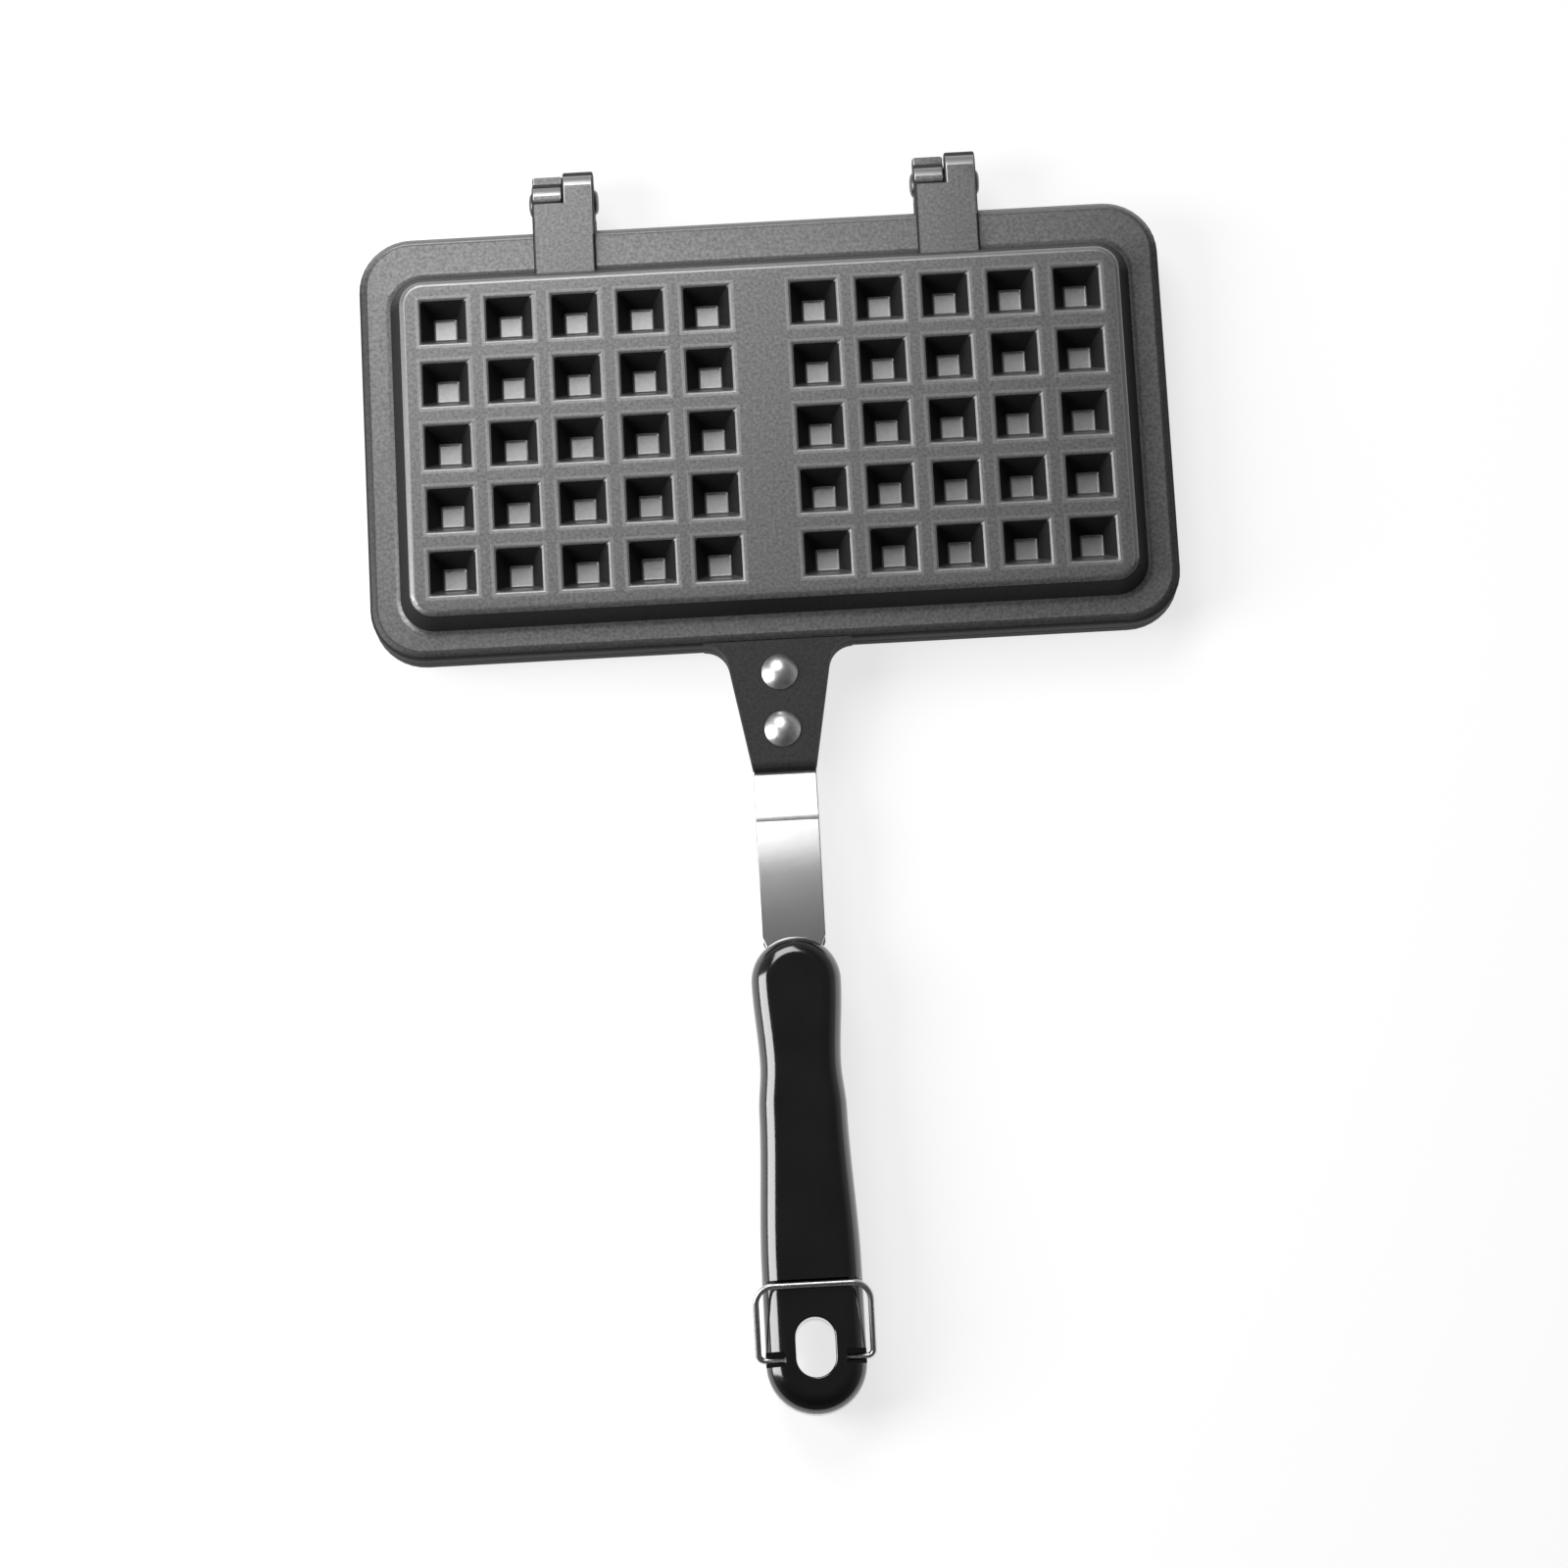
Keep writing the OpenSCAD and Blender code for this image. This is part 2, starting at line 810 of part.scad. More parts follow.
module upper_plate() color("dimgray") in_upper() plate_casting();
module lower_plate() color("dimgray") in_lower() plate_casting();
module upper_strap() color("silver") in_upper() strap();
module lower_strap() color("silver") in_lower() strap();
module upper_rivets() color("gainsboro") in_upper() for (y = rivet_y) translate([0, y, 0]) rivet();
module lower_rivets() color("gainsboro") in_lower() for (y = rivet_y) translate([0, y, 0]) rivet();
module upper_grip() color("black") in_upper() grip();
module lower_grip() color("black") in_lower() grip();
module upper_grip_screw() color("gray") in_upper() grip_screw();
module lower_grip_screw() color("gray") in_lower() grip_screw();
module hinge_pin_left() color("darkgray") translate([-lug_x, 0, 0]) hinge_pin();
module hinge_pin_right() color("darkgray") translate([lug_x, 0, 0]) hinge_pin();

module latch_bail() {
    color("silver")
        in_upper()
            translate([0, pivot_y, pivot_h])
                rotate([bail_tilt, 0, 0])
                    bail_flat();
}

lower_plate();
lower_strap();
lower_rivets();
lower_grip();
lower_grip_screw();
hinge_pin_left();
hinge_pin_right();
upper_plate();
upper_strap();
upper_rivets();
upper_grip();
upper_grip_screw();
latch_bail();
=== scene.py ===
"""Looks of a two-slice stovetop waffle iron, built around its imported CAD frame.

Two identical castings close on a waffle cavity. Each carries a riveted steel strap
and a moulded grip, and a wire bail on the upper grip holds the pair shut.
Sizes are in millimetres in the casting's own frame: the parting plane is z = 0,
y runs from the grips to the hinge, and the upper half lies above the plane.
"""

import logging
import math
from dataclasses import dataclass, field
from enum import Enum
from typing import Callable, Sequence

import bmesh
import bpy
from mathutils import Matrix, Vector


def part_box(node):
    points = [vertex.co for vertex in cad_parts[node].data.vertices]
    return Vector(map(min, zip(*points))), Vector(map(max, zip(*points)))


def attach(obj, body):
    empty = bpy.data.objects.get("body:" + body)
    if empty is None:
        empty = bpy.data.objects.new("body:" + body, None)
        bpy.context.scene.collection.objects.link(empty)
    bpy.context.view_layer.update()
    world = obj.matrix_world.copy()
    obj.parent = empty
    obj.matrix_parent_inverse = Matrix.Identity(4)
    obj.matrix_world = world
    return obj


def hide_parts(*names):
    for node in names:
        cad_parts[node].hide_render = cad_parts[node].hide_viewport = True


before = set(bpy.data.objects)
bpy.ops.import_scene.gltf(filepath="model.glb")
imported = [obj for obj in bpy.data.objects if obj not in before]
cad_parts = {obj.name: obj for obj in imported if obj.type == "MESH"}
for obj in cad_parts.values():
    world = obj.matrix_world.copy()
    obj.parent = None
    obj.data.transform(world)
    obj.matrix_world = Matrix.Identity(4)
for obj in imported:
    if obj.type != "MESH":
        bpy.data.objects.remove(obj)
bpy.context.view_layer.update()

MM = 0.001  # metres in a millimetre
NEAR_MM = 0.01  # places closer than this are the same
LEVEL = 0.999  # a unit normal's part along an axis that counts as all of it
CORNER = 30  # bend, in degrees, over which the plate's edges are rounded
SHARP = 50  # bend, in degrees, over which an edge is a sharp one
PAINTED_LIGHT_AND_WEAR = "shade_highlight_wear"  # face attribute of the castings: grade of painted shade, painted highlight and rubbing
NOISE_SPAN = (0.3, 0.7)  # within these a noise node's values mostly stay
LOG = logging.getLogger("waffle_iron")
Point = tuple[float, float]
Piece = bpy.types.Object
Socket = bpy.types.NodeSocket
Tree = bpy.types.NodeTree


class Half(Enum):
    """Which half of the iron a piece belongs to."""

    UPPER = "upper"
    LOWER = "lower"

    @property
    def body(self) -> str:
        """The CAD body that the half's pieces ride on."""
        return f"{self.value}_half"


class Merge(Enum):
    """How a solid is combined with another."""

    ADD = "UNION"
    CUT = "DIFFERENCE"


class Part(Enum):
    """What an edit-mode selection is made of."""

    VERT = "VERT"
    EDGE = "EDGE"
    FACE = "FACE"


def parting_height() -> float:
    """Height of the parting plane above the floor, in metres, from the frame."""
    low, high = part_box("lower_plate")[0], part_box("upper_plate")[1]
    return (low.z + high.z) / 2


# Modelling by hand


def deselect() -> None:
    """Leaves nothing selected, in object mode."""
    if bpy.context.object and bpy.context.object.mode != "OBJECT":
        bpy.ops.object.mode_set(mode="OBJECT")
    bpy.ops.object.select_all(action="DESELECT")


def work_on(*pieces: Piece) -> None:
    """Selects the pieces and makes the first one active."""
    deselect()
    for piece in pieces:
        piece.select_set(True)
    bpy.context.view_layer.objects.active = pieces[0]


def edit(piece: Piece) -> None:
    """Opens a piece in edit mode with everything selected.

    Args:
        piece: Mesh to open.
    """
    work_on(piece)
    bpy.ops.object.mode_set(mode="EDIT")
    bpy.ops.mesh.select_all(action="SELECT")


def done() -> None:
    """Goes back to object mode."""
    bpy.ops.object.mode_set(mode="OBJECT")


def named(name: str) -> Piece:
    """Names the primitive that was just added, and its mesh.

    Args:
        name: Name of both.

    Returns:
        The primitive.
    """
    piece = bpy.context.object
    piece.name = piece.data.name = name
    return piece


def pick(part: Part, wanted: Callable[[object], bool]) -> None:
    """Selects, in edit mode, the elements that a test wants.

    Args:
        part: Kind of element to select.
        wanted: Test that is given each BMesh element.
    """
    bpy.ops.mesh.select_mode(type=part.value)
    bpy.ops.mesh.select_all(action="DESELECT")
    mesh = bpy.context.edit_object.data
    shape = bmesh.from_edit_mesh(mesh)
    elements = {Part.VERT: shape.verts, Part.EDGE: shape.edges, Part.FACE: shape.faces}[part]
    for element in elements:
        if wanted(element):
            element.select_set(True)
    shape.select_flush_mode()
    bmesh.update_edit_mesh(mesh)


def middle(element: object) -> Vector:
    """Middle of an edge or face, in millimetres."""
    corners = [vert.co for vert in element.verts]
    return sum(corners, Vector()) / len(corners) / MM


def bend(edge: object) -> float:
    """Angle between the two faces of an edge, in degrees."""
    return math.degrees(edge.calc_face_angle(0.0))


def lies_at(element: object, *heights: float) -> bool:
    """Tells whether every corner of an element lies at one of some heights, in millimetres."""
    return all(any(abs(vert.co.z / MM - z) < NEAR_MM for z in heights) for vert in element.verts)


def bevel_edges(width: float, segments: int, wanted: Callable[[object], bool]) -> None:
    """Rounds, in edit mode, the edges that a test wants.

    Args:
        width: Width of the rounding along the faces, in millimetres.
        segments: Number of steps across it.
        wanted: Test that is given each edge.
    """
    pick(Part.EDGE, wanted)
    bpy.ops.mesh.bevel(offset=width * MM, segments=segments, affect="EDGES", clamp_overlap=True)


def quarter(count: int) -> list[tuple[float, float]]:
    """Steps of a quarter circle of radius one, as (inward, upward) amounts."""
    turns = [math.pi / 2 * k / count for k in range(count + 1)]
    return [
        (math.cos(a) - math.cos(b), math.sin(b) - math.sin(a)) for a, b in zip(turns, turns[1:])
    ]


def arc(centre: Point, radius: float, start: float, end: float, count: int) -> list[Point]:
    """Points along an arc.

    Args:
        centre: Middle of the circle.
        radius: Its radius.
        start: Angle of the first point, in degrees.
        end: Angle of the last point.
        count: Number of steps.

    Returns:
        The count + 1 points.
    """
    turns = [math.radians(start + (end - start) * k / count) for k in range(count + 1)]
    return [(centre[0] + radius * math.cos(t), centre[1] + radius * math.sin(t)) for t in turns]


def extrude(x: float, y: float, z: float) -> None:
    """Extrudes the selection, in edit mode, by a shift in millimetres."""
    bpy.ops.mesh.extrude_region_move(TRANSFORM_OT_translate={"value": Vector((x, y, z)) * MM})


def turn_outwards() -> None:
    """Selects everything, in edit mode, and turns the faces outwards."""
    bpy.ops.mesh.select_all(action="SELECT")
    bpy.ops.mesh.normals_make_consistent(inside=False)


def drawn_out(name: str, corners: list[Sequence[float]], shift: Sequence[float]) -> Piece:
    """Lays a circle's corners along an outline and draws it out into a solid.

    Args:
        name: Name of the new piece.
        corners: Places of the outline's corners, in millimetres.
        shift: How far the outline is drawn out.

    Returns:
        The solid, left in edit mode.
    """
    deselect()
    bpy.ops.mesh.primitive_circle_add(vertices=len(corners), radius=MM, fill_type="NGON")
    piece = named(name)
    for vert, corner in zip(piece.data.vertices, corners):
        vert.co = Vector(corner) * MM
    edit(piece)
    extrude(*shift)
    turn_outwards()
    return piece


def cylinder(
    name: str, radius: float, depth: float, place: Sequence[float], sides: int, across: bool
) -> Piece:
    """Adds a cylinder.

    Args:
        name: Name of the new piece.
        radius: Its radius, in millimetres.
        depth: Its length.
        place: Its middle.
        sides: Number of its sides.
        across: Whether it lies along x and not along z.

    Returns:
        The piece.
    """
    deselect()
    bpy.ops.mesh.primitive_cylinder_add(
        vertices=sides,
        radius=radius * MM,
        depth=depth * MM,
        location=Vector(place) * MM,
        rotation=(0, math.pi / 2 if across else 0, 0),
    )
    return named(name)


def block(name: str, place: Sequence[float], size: Sequence[float]) -> Piece:
    """Adds a block with its middle at a place, both in millimetres.

    Args:
        name: Name of the new piece.
        place: Its middle, in millimetres.
        size: Its lengths along x, y and z.

    Returns:
        The piece.
    """
    deselect()
    bpy.ops.mesh.primitive_cube_add(size=1.0, location=Vector(place) * MM, scale=Vector(size) * MM)
    return named(name)


def apply_modifier(piece: Piece, kind: str, **settings: object) -> None:
    """Adds a modifier to a piece and applies it.

    Args:
        piece: Mesh to change.
        kind: Modifier type.
        **settings: Values for its properties.
    """
    work_on(piece)
    modifier = piece.modifiers.new(kind.lower(), kind)
    for key, value in settings.items():
        setattr(modifier, key, value)
    bpy.ops.object.modifier_apply(modifier=modifier.name)


def combine(piece: Piece, tool: Piece, merge: Merge) -> None:
    """Adds a closed tool shape to a piece, or cuts it out, and removes the tool.

    Args:
        piece: Piece that is kept.
        tool: Shape that is used up.
        merge: Whether the tool is added or cut out.
    """
    apply_modifier(piece, "BOOLEAN", operation=merge.value, object=tool, solver="EXACT")
    bpy.data.objects.remove(tool)


def face_outwards(piece: Piece) -> None:
    """Welds a piece's seams and turns its faces outwards.

    Args:
        piece: Mesh to mend.
    """
    weld_mm = 0.002
    edit(piece)
    bpy.ops.mesh.remove_doubles(threshold=weld_mm * MM)
    turn_outwards()
    done()


def split_polygons(piece: Piece) -> None:
    """Splits the faces with more than four corners into well-shaped triangles.

    Args:
        piece: Mesh to split.
    """
    sliver_mm = 0.016
    edit(piece)
    bpy.ops.mesh.dissolve_degenerate(threshold=sliver_mm * MM)
    pick(Part.FACE, lambda face: len(face.verts) > 4)
    bpy.ops.mesh.quads_convert_to_tris(quad_method="BEAUTY", ngon_method="BEAUTY")
    done()


def soften(piece: Piece, sharp_over: float) -> None:
    """Shades a piece smooth, with flat faces kept flat.

    Args:
        piece: Mesh to shade.
        sharp_over: Edges that bend by more degrees than this stay sharp.
    """
    work_on(piece)
    bpy.ops.object.shade_smooth_by_angle(angle=math.radians(sharp_over))
    apply_modifier(piece, "WEIGHTED_NORMAL", mode="FACE_AREA", weight=100, keep_sharp=True)


def copied(piece: Piece, name: str) -> Piece:
    """Copies a piece with a mesh of its own.

    Args:
        piece: Piece to copy.
        name: Name of the copy.

    Returns:
        The copy.
    """
    twin = piece.copy()
    twin.data = piece.data.copy()
    twin.name = twin.data.name = name
    bpy.context.scene.collection.objects.link(twin)
    return twin


def set_in_half(piece: Piece, half: Half) -> None:
    """Moves a piece from the casting's frame to its half of the iron.

    Args:
        piece: Piece drawn above the parting plane.
        half: The upper half keeps it upright, the lower half turns it over.
    """
    lift = Matrix.Translation((0, 0, parting_height()))
    turn = Matrix.Rotation(math.pi, 4, "Y") if half is Half.LOWER else Matrix.Identity(4)
    piece.data.transform(lift @ turn)


def finish_piece(
    piece: Piece,
    half: Half,
    body: str,
    node: str,
    material: bpy.types.Material,
    sharp_over: float = 40.0,
) -> None:
    """Sets a modelled piece in its half, and gives it its material and its place in the frame.

    Args:
        piece: Finished mesh, drawn above the parting plane.
        half: Half of the iron that it is set in.
        body: CAD body that it rides on.
        node: CAD node that it stands for.
        material: Its finish.
        sharp_over: Edges that bend by more degrees than this stay sharp.
    """
    set_in_half(piece, half)
    soften(piece, sharp_over)
    piece.data.materials.clear()
    piece.data.materials.append(material)
    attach(piece, body)
    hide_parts(node)
    LOG.info("%s: %d faces, rides on %s", piece.name, len(piece.data.polygons), body)


# Finishes


def linear(colour: str) -> tuple[float, float, float, float]:
    """Turns an sRGB hex colour to linear red, green, blue and alpha."""
    parts = [int(colour[k : k + 2], 16) / 255 for k in (1, 3, 5)]
    return (*[c / 12.92 if c <= 0.04045 else ((c + 0.055) / 1.055) ** 2.4 for c in parts], 1.0)


def add_node(
    tree: Tree, kind: str, inputs: dict | Sequence = (), **settings: object
) -> bpy.types.Node:
    """Adds a node with its settings and links.

    Args:
        tree: Node tree to add to.
        kind: Node type without its ShaderNode prefix.
        inputs: Values or output sockets for its inputs, by name or number or in their order.
        **settings: Values for the node's own properties.

    Returns:
        The node.
    """
    node = tree.nodes.new(f"ShaderNode{kind}")
    for key, value in settings.items():
        setattr(node, key, value)
    for key, value in inputs.items() if isinstance(inputs, dict) else enumerate(inputs):
        if isinstance(value, Socket):
            tree.links.new(value, node.inputs[key])
        else:
            node.inputs[key].default_value = value
    return node


def fresh_tree(owner: bpy.types.Material | bpy.types.World) -> Tree:
    """Empties the node tree of a material or world.

    Args:
        owner: Material or world to start afresh.

    Returns:
        Its empty tree.
    """
    owner.use_nodes = True
    owner.node_tree.nodes.clear()
    return owner.node_tree


class Surface:
    """A Principled material under construction, with patterns on Object coordinates."""

    def __init__(self, name: str) -> None:
        """Starts an empty material with a Principled shader and its coordinates.

        Args:
            name: Name of the material.
        """
        self.material = bpy.data.materials.new(name)
        self.tree = fresh_tree(self.material)
        self.shader = add_node(self.tree, "BsdfPrincipled")
        output = add_node(self.tree, "OutputMaterial")
        self.tree.links.new(self.shader.outputs["BSDF"], output.inputs["Surface"])
        self.object_space = add_node(self.tree, "TexCoord").outputs["Object"]

    def set(self, **values: object) -> None:
        """Sets the shader's sockets, with _ for a space in their names."""
        for key, value in values.items():
            socket = self.shader.inputs[key.replace("_", " ")]
            if isinstance(value, Socket):
                self.tree.links.new(value, socket)
            else:
                socket.default_value = value

    def noise(
        self, size_mm: float, detail: float = 2.0, stretch: Sequence[float] | None = None
    ) -> Socket:
        """Cloudy pattern on Object coordinates, drawn out along an axis if that is asked.

        Args:
            size_mm: Width of one feature.
            detail: Number of finer layers on it.
            stretch: Factor on the coordinates along each axis, if any.

        Returns:
            The pattern's value, which mostly stays within NOISE_SPAN.
        """
        space = self.object_space
        if stretch:
            inputs = {"Vector": space, "Scale": stretch}
            space = add_node(self.tree, "Mapping", inputs).outputs["Vector"]
        inputs = {"Vector": space, "Scale": 1 / (size_mm * MM), "Detail": detail}
        return add_node(self.tree, "TexNoise", inputs).outputs["Fac"]

    def blend(self, value: Socket, low: str, high: str) -> Socket:
        """Mixes two hex colours by a noise value.

        Args:
            value: The noise.
            low: Colour where it is low.
            high: Colour where it is high.

        Returns:
            The mixed colour.
        """
        share = add_node(self.tree, "MapRange", (value, *NOISE_SPAN, 0.0, 1.0)).outputs[0]
        inputs = {0: share, 6: linear(low), 7: linear(high)}
        return add_node(self.tree, "Mix", inputs, data_type="RGBA").outputs[2]

    def graded(self, grade: Socket, low: str, middle: Socket, high: str) -> Socket:
        """Mixes a colour towards one hex below a grade of 0.5 and another above it.

        Args:
            grade: Value from 0 to 1.
            low: Colour at 0.
            middle: Colour at 0.5.
            high: Colour at 1.

        Returns:
            The mixed colour.
        """
        for edge, far, colour in ((0.5, 0.0, low), (0.5, 1.0, high)):
            share = add_node(self.tree, "MapRange", (grade, edge, far, 0.0, 1.0)).outputs[0]
            inputs = {0: share, 6: middle, 7: linear(colour)}
            middle = add_node(self.tree, "Mix", inputs, data_type="RGBA").outputs[2]
        return middle

    def relief(self, *layers: tuple[Socket, float, float]) -> None:
        """Bumps the surface.

        Args:
            *layers: Pattern, depth in millimetres and strength of each layer.
        """
        normal = None
        for height, depth, strength in layers:
            inputs = {"Height": height, "Distance": depth * MM, "Strength": strength}
            if normal:
                inputs["Normal"] = normal
            normal = add_node(self.tree, "Bump", inputs).outputs["Normal"]
        self.tree.links.new(normal, self.shader.inputs["Normal"])


@dataclass(frozen=True)
class NonstickCoat:
    """Sand-cast aluminium under a sprayed dark grey non-stick coat.

    The spray leaves a fine orange peel and specks of mica in a satin film,
    so broad highlights break up into grain. It is matt on steep walls. Its colour
    carries painted shade on steep walls, the neck, the lugs and the grips' side of
    the flange's edge, and painted highlight and painted light, towards bright metal,
    on edges turned to the hinge, the knuckles and the pit floors; the knuckles and
    edges are also rubbed through to bright metal.
    """

    dark: str = "#5C5C5C"
    light: str = "#7A7A7A"
    # Colour at grade 0: painted shade.
    painted_shade: str = "#1C1C1C"
    # Colour of bare metal at grade 1, shown as rubbing and as painted highlight.
    worn_and_highlight: str = "#B4B4B4"
    peel_mm: float = 0.9
    roughness: float = 0.36
    matt: float = 0.7

    def material(self) -> bpy.types.Material:
        """Builds the material.

        Returns:
            The material.
        """
        surface = Surface("nonstick_coat_on_cast_aluminium")
        peel = surface.noise(self.peel_mm, 3.0)
        # Each face's grade of painted shade, painted highlight and rubbing.
        shade_highlight_wear = add_node(surface.tree, "Attribute", attribute_name=PAINTED_LIGHT_AND_WEAR).outputs["Fac"]
        coat = surface.blend(peel, self.dark, self.light)
        gloss = (shade_highlight_wear, 0.0, 0.5, self.matt, self.roughness)
        # Below grade 0.5 the colour darkens towards painted shade; above it, it lightens towards
        # bare metal, as painted highlight and rubbing.
        surface.set(
            Base_Color=surface.graded(shade_highlight_wear, self.painted_shade, coat, self.worn_and_highlight),
            Metallic=add_node(surface.tree, "MapRange", (shade_highlight_wear, 0.5, 1.0, 0.5, 0.9)).outputs[0],
            Roughness=add_node(surface.tree, "MapRange", gloss).outputs[0],
            Specular_IOR_Level=0.3,
        )
        surface.relief((peel, 0.05, 0.45), (surface.noise(6.0), 0.04, 0.4))
        return surface.material


@dataclass(frozen=True)
class RolledStainless:
    """Stainless strip with the fine lengthwise lines of the rolling mill.

    The lines are drawn coarser than the real ones, so that they show.
    """

    dark: str = "#C8C8C8"
    light: str = "#D2D2D2"
    line_mm: float = 0.3
    line_length: float = 0.02
    roughness: float = 0.27

    def material(self) -> bpy.types.Material:
        """Builds the material.

        Returns:
            The material.
        """
        surface = Surface("rolled_stainless")
        lines = surface.noise(self.line_mm, 2.0, (1.0, self.line_length, 1.0))
        surface.set(
            Base_Color=surface.blend(lines, self.dark, self.light),
            Metallic=1.0,
            Roughness=self.roughness,
        )
        return surface.material


@dataclass(frozen=True)
class MouldedPhenolic:
    """Compression-moulded black phenolic, polished by its mould.

    A faint flow ripple bends long highlights. Handling marks, drawn coarser than
    the real ones, dull them here and there.
    """

    dark: str = "#070707"
    light: str = "#101010"
    ripple_mm: float = 14.0
    mark_mm: float = 0.4
    roughness: float = 0.14

    def material(self) -> bpy.types.Material:
        """Builds the material.

        Returns:
            The material.
        """
        surface = Surface("moulded_black_phenolic")
        marks = surface.noise(self.mark_mm, 3.0, (1.0, 0.25, 1.0))
        ripple = surface.noise(self.ripple_mm, 1.0)
        gloss = (marks, *NOISE_SPAN, self.roughness - 0.03, self.roughness + 0.05)
        surface.set(
            Base_Color=surface.blend(ripple, self.dark, self.light),
            Roughness=add_node(surface.tree, "MapRange", gloss).outputs[0],
            IOR=1.6,
            Coat_Weight=1.0,
            Coat_Roughness=0.1,
        )
        surface.relief((ripple, 0.05, 0.3), (marks, 0.004, 0.2))
        return surface.material


@dataclass(frozen=True)
class BrightMetal:
    """Headed, drawn or plated metal with faint rings or marks from its tool."""

    name: str
    dark: str
    light: str
    mark_mm: float
    roughness: float

    def material(self) -> bpy.types.Material:
        """Builds the material.

        Returns:
            The material.
        """
        surface = Surface(self.name)
        marks = surface.noise(self.mark_mm)
        gloss = (marks, *NOISE_SPAN, self.roughness * 0.9, self.roughness * 1.1)
        surface.set(
            Base_Color=surface.blend(marks, self.dark, self.light),
            Metallic=1.0,
            Roughness=add_node(surface.tree, "MapRange", gloss).outputs[0],
        )
        surface.relief((marks, 0.008, 0.15))
        return surface.material


@dataclass(frozen=True)
class Finishes:
    """One material for each slot of the record."""

    plate: bpy.types.Material = field(default_factory=NonstickCoat().material)
    strap: bpy.types.Material = field(default_factory=RolledStainless().material)
    grip: bpy.types.Material = field(default_factory=MouldedPhenolic().material)
    rivet: bpy.types.Material = field(
        default_factory=BrightMetal("headed_aluminium", "#E8E8E8", "#F6F6F6", 2.0, 0.34).material
    )
    pin: bpy.types.Material = field(
        default_factory=BrightMetal("drawn_steel", "#5E5E5E", "#767676", 0.4, 0.34).material
    )
    wire: bpy.types.Material = field(
        default_factory=BrightMetal("plated_wire", "#D2D2D2", "#E6E6E6", 0.5, 0.3).material
    )
    screw: bpy.types.Material = field(
        default_factory=BrightMetal("zinc_plate", "#A9ABAD", "#C0C2C4", 0.5, 0.3).material
    )


# Sub-assemblies


@dataclass
class WaffleGrid:
    """Layout of the fifty pits, in two blocks."""

    columns: int = 5
    rows: int = 5
    pitch_x: float = 19.0
    pitch_y: float = 18.65
    strip_w: float = 17.75
    mouth_x: float = 13.2
    mouth_y: float = 12.75
    lean: float = 3.2
    depth: float = 9.2
    wall: float = 1.6
    floor: float = 1.8

    def centres_x(self) -> list[float]:
        """Places of the columns across both blocks.

        Returns:
            The places, from left to right.
        """
        first = self.strip_w / 2 + self.mouth_x / 2
        right = [first + k * self.pitch_x for k in range(self.columns)]
        return [-x for x in reversed(right)] + right

    def centres_y(self) -> list[float]:
        """Places of the rows."""
        return [(k - (self.rows - 1) / 2) * self.pitch_y for k in range(self.rows)]

    def holds(self, place: Vector, half_x: float, half_y: float) -> bool:
        """Tells whether a place lies inside, or on the edge of, a rectangle round a pit.

        Args:
            place: Point in millimetres.
            half_x: Half width of the rectangle.
            half_y: Half depth of it.

        Returns:
            True if it does.
        """
        near = 0.02
        across = any(abs(place.x - x) < half_x + near for x in self.centres_x())
        along = any(abs(place.y - y) < half_y + near for y in self.centres_y())
        return across and along

    def rule(self, height: float, half_x: float, half_y: float) -> None:
        """Scores the flat face at a height along every side of the pits' rectangles.

        Args:
            height: Height of the face, in millimetres.
            half_x: Half width of a rectangle.
            half_y: Half depth of it.
        """
        cuts = [((x + s * half_x, 0, 0), (1, 0, 0)) for x in self.centres_x() for s in (-1, 1)]
        cuts += [((0, y + s * half_y, 0), (0, 1, 0)) for y in self.centres_y() for s in (-1, 1)]
        for point, normal in cuts:
            pick(Part.FACE, lambda face: lies_at(face, height))
            bpy.ops.mesh.bisect(plane_co=Vector(point) * MM, plane_no=normal)

    def sink(self, height: float, lean: float, depth: float) -> None:
        """Sinks the ruled rectangles of the flat face at a height into drafted pits.

        Args:
            height: Height of the face, in millimetres.
            lean: How far each wall leans in on its way down.
            depth: Depth of the pits.
        """
        pick(Part.FACE, lambda face: lies_at(face, height) and self.holds(middle(face), 1, 1))
        bpy.ops.mesh.inset(thickness=lean * MM, depth=-depth * MM, use_individual=True)


@dataclass(frozen=True)
class ShadeHighlightWearGrades:
    """Shade, highlight and rubbing of a casting's coat, place by place.

    0 is painted shade on the matt coat of steep walls, 0.5 the plain coat and 1 bare metal, shown
    where the coat is rubbed and as painted highlight.
    """

    # Values above plain lighten the coat as painted highlight and painted light, and on knuckles,
    # edges and pit rims also as rubbing; values below plain darken it as painted shade.
    bare: float = 1.0
    lip: float = 0.85
    pit: float = 0.78
    edge: float = 0.75
    rim: float = 0.6
    plain: float = 0.5
    flange: float = 0.2
    neck: float = 0.12
    lug: float = 0.1
    wall: float = 0.05
    # Added, as painted light, to steep walls and the flange's edge the more they turn towards the
    # hinge.
    gain: float = 0.55


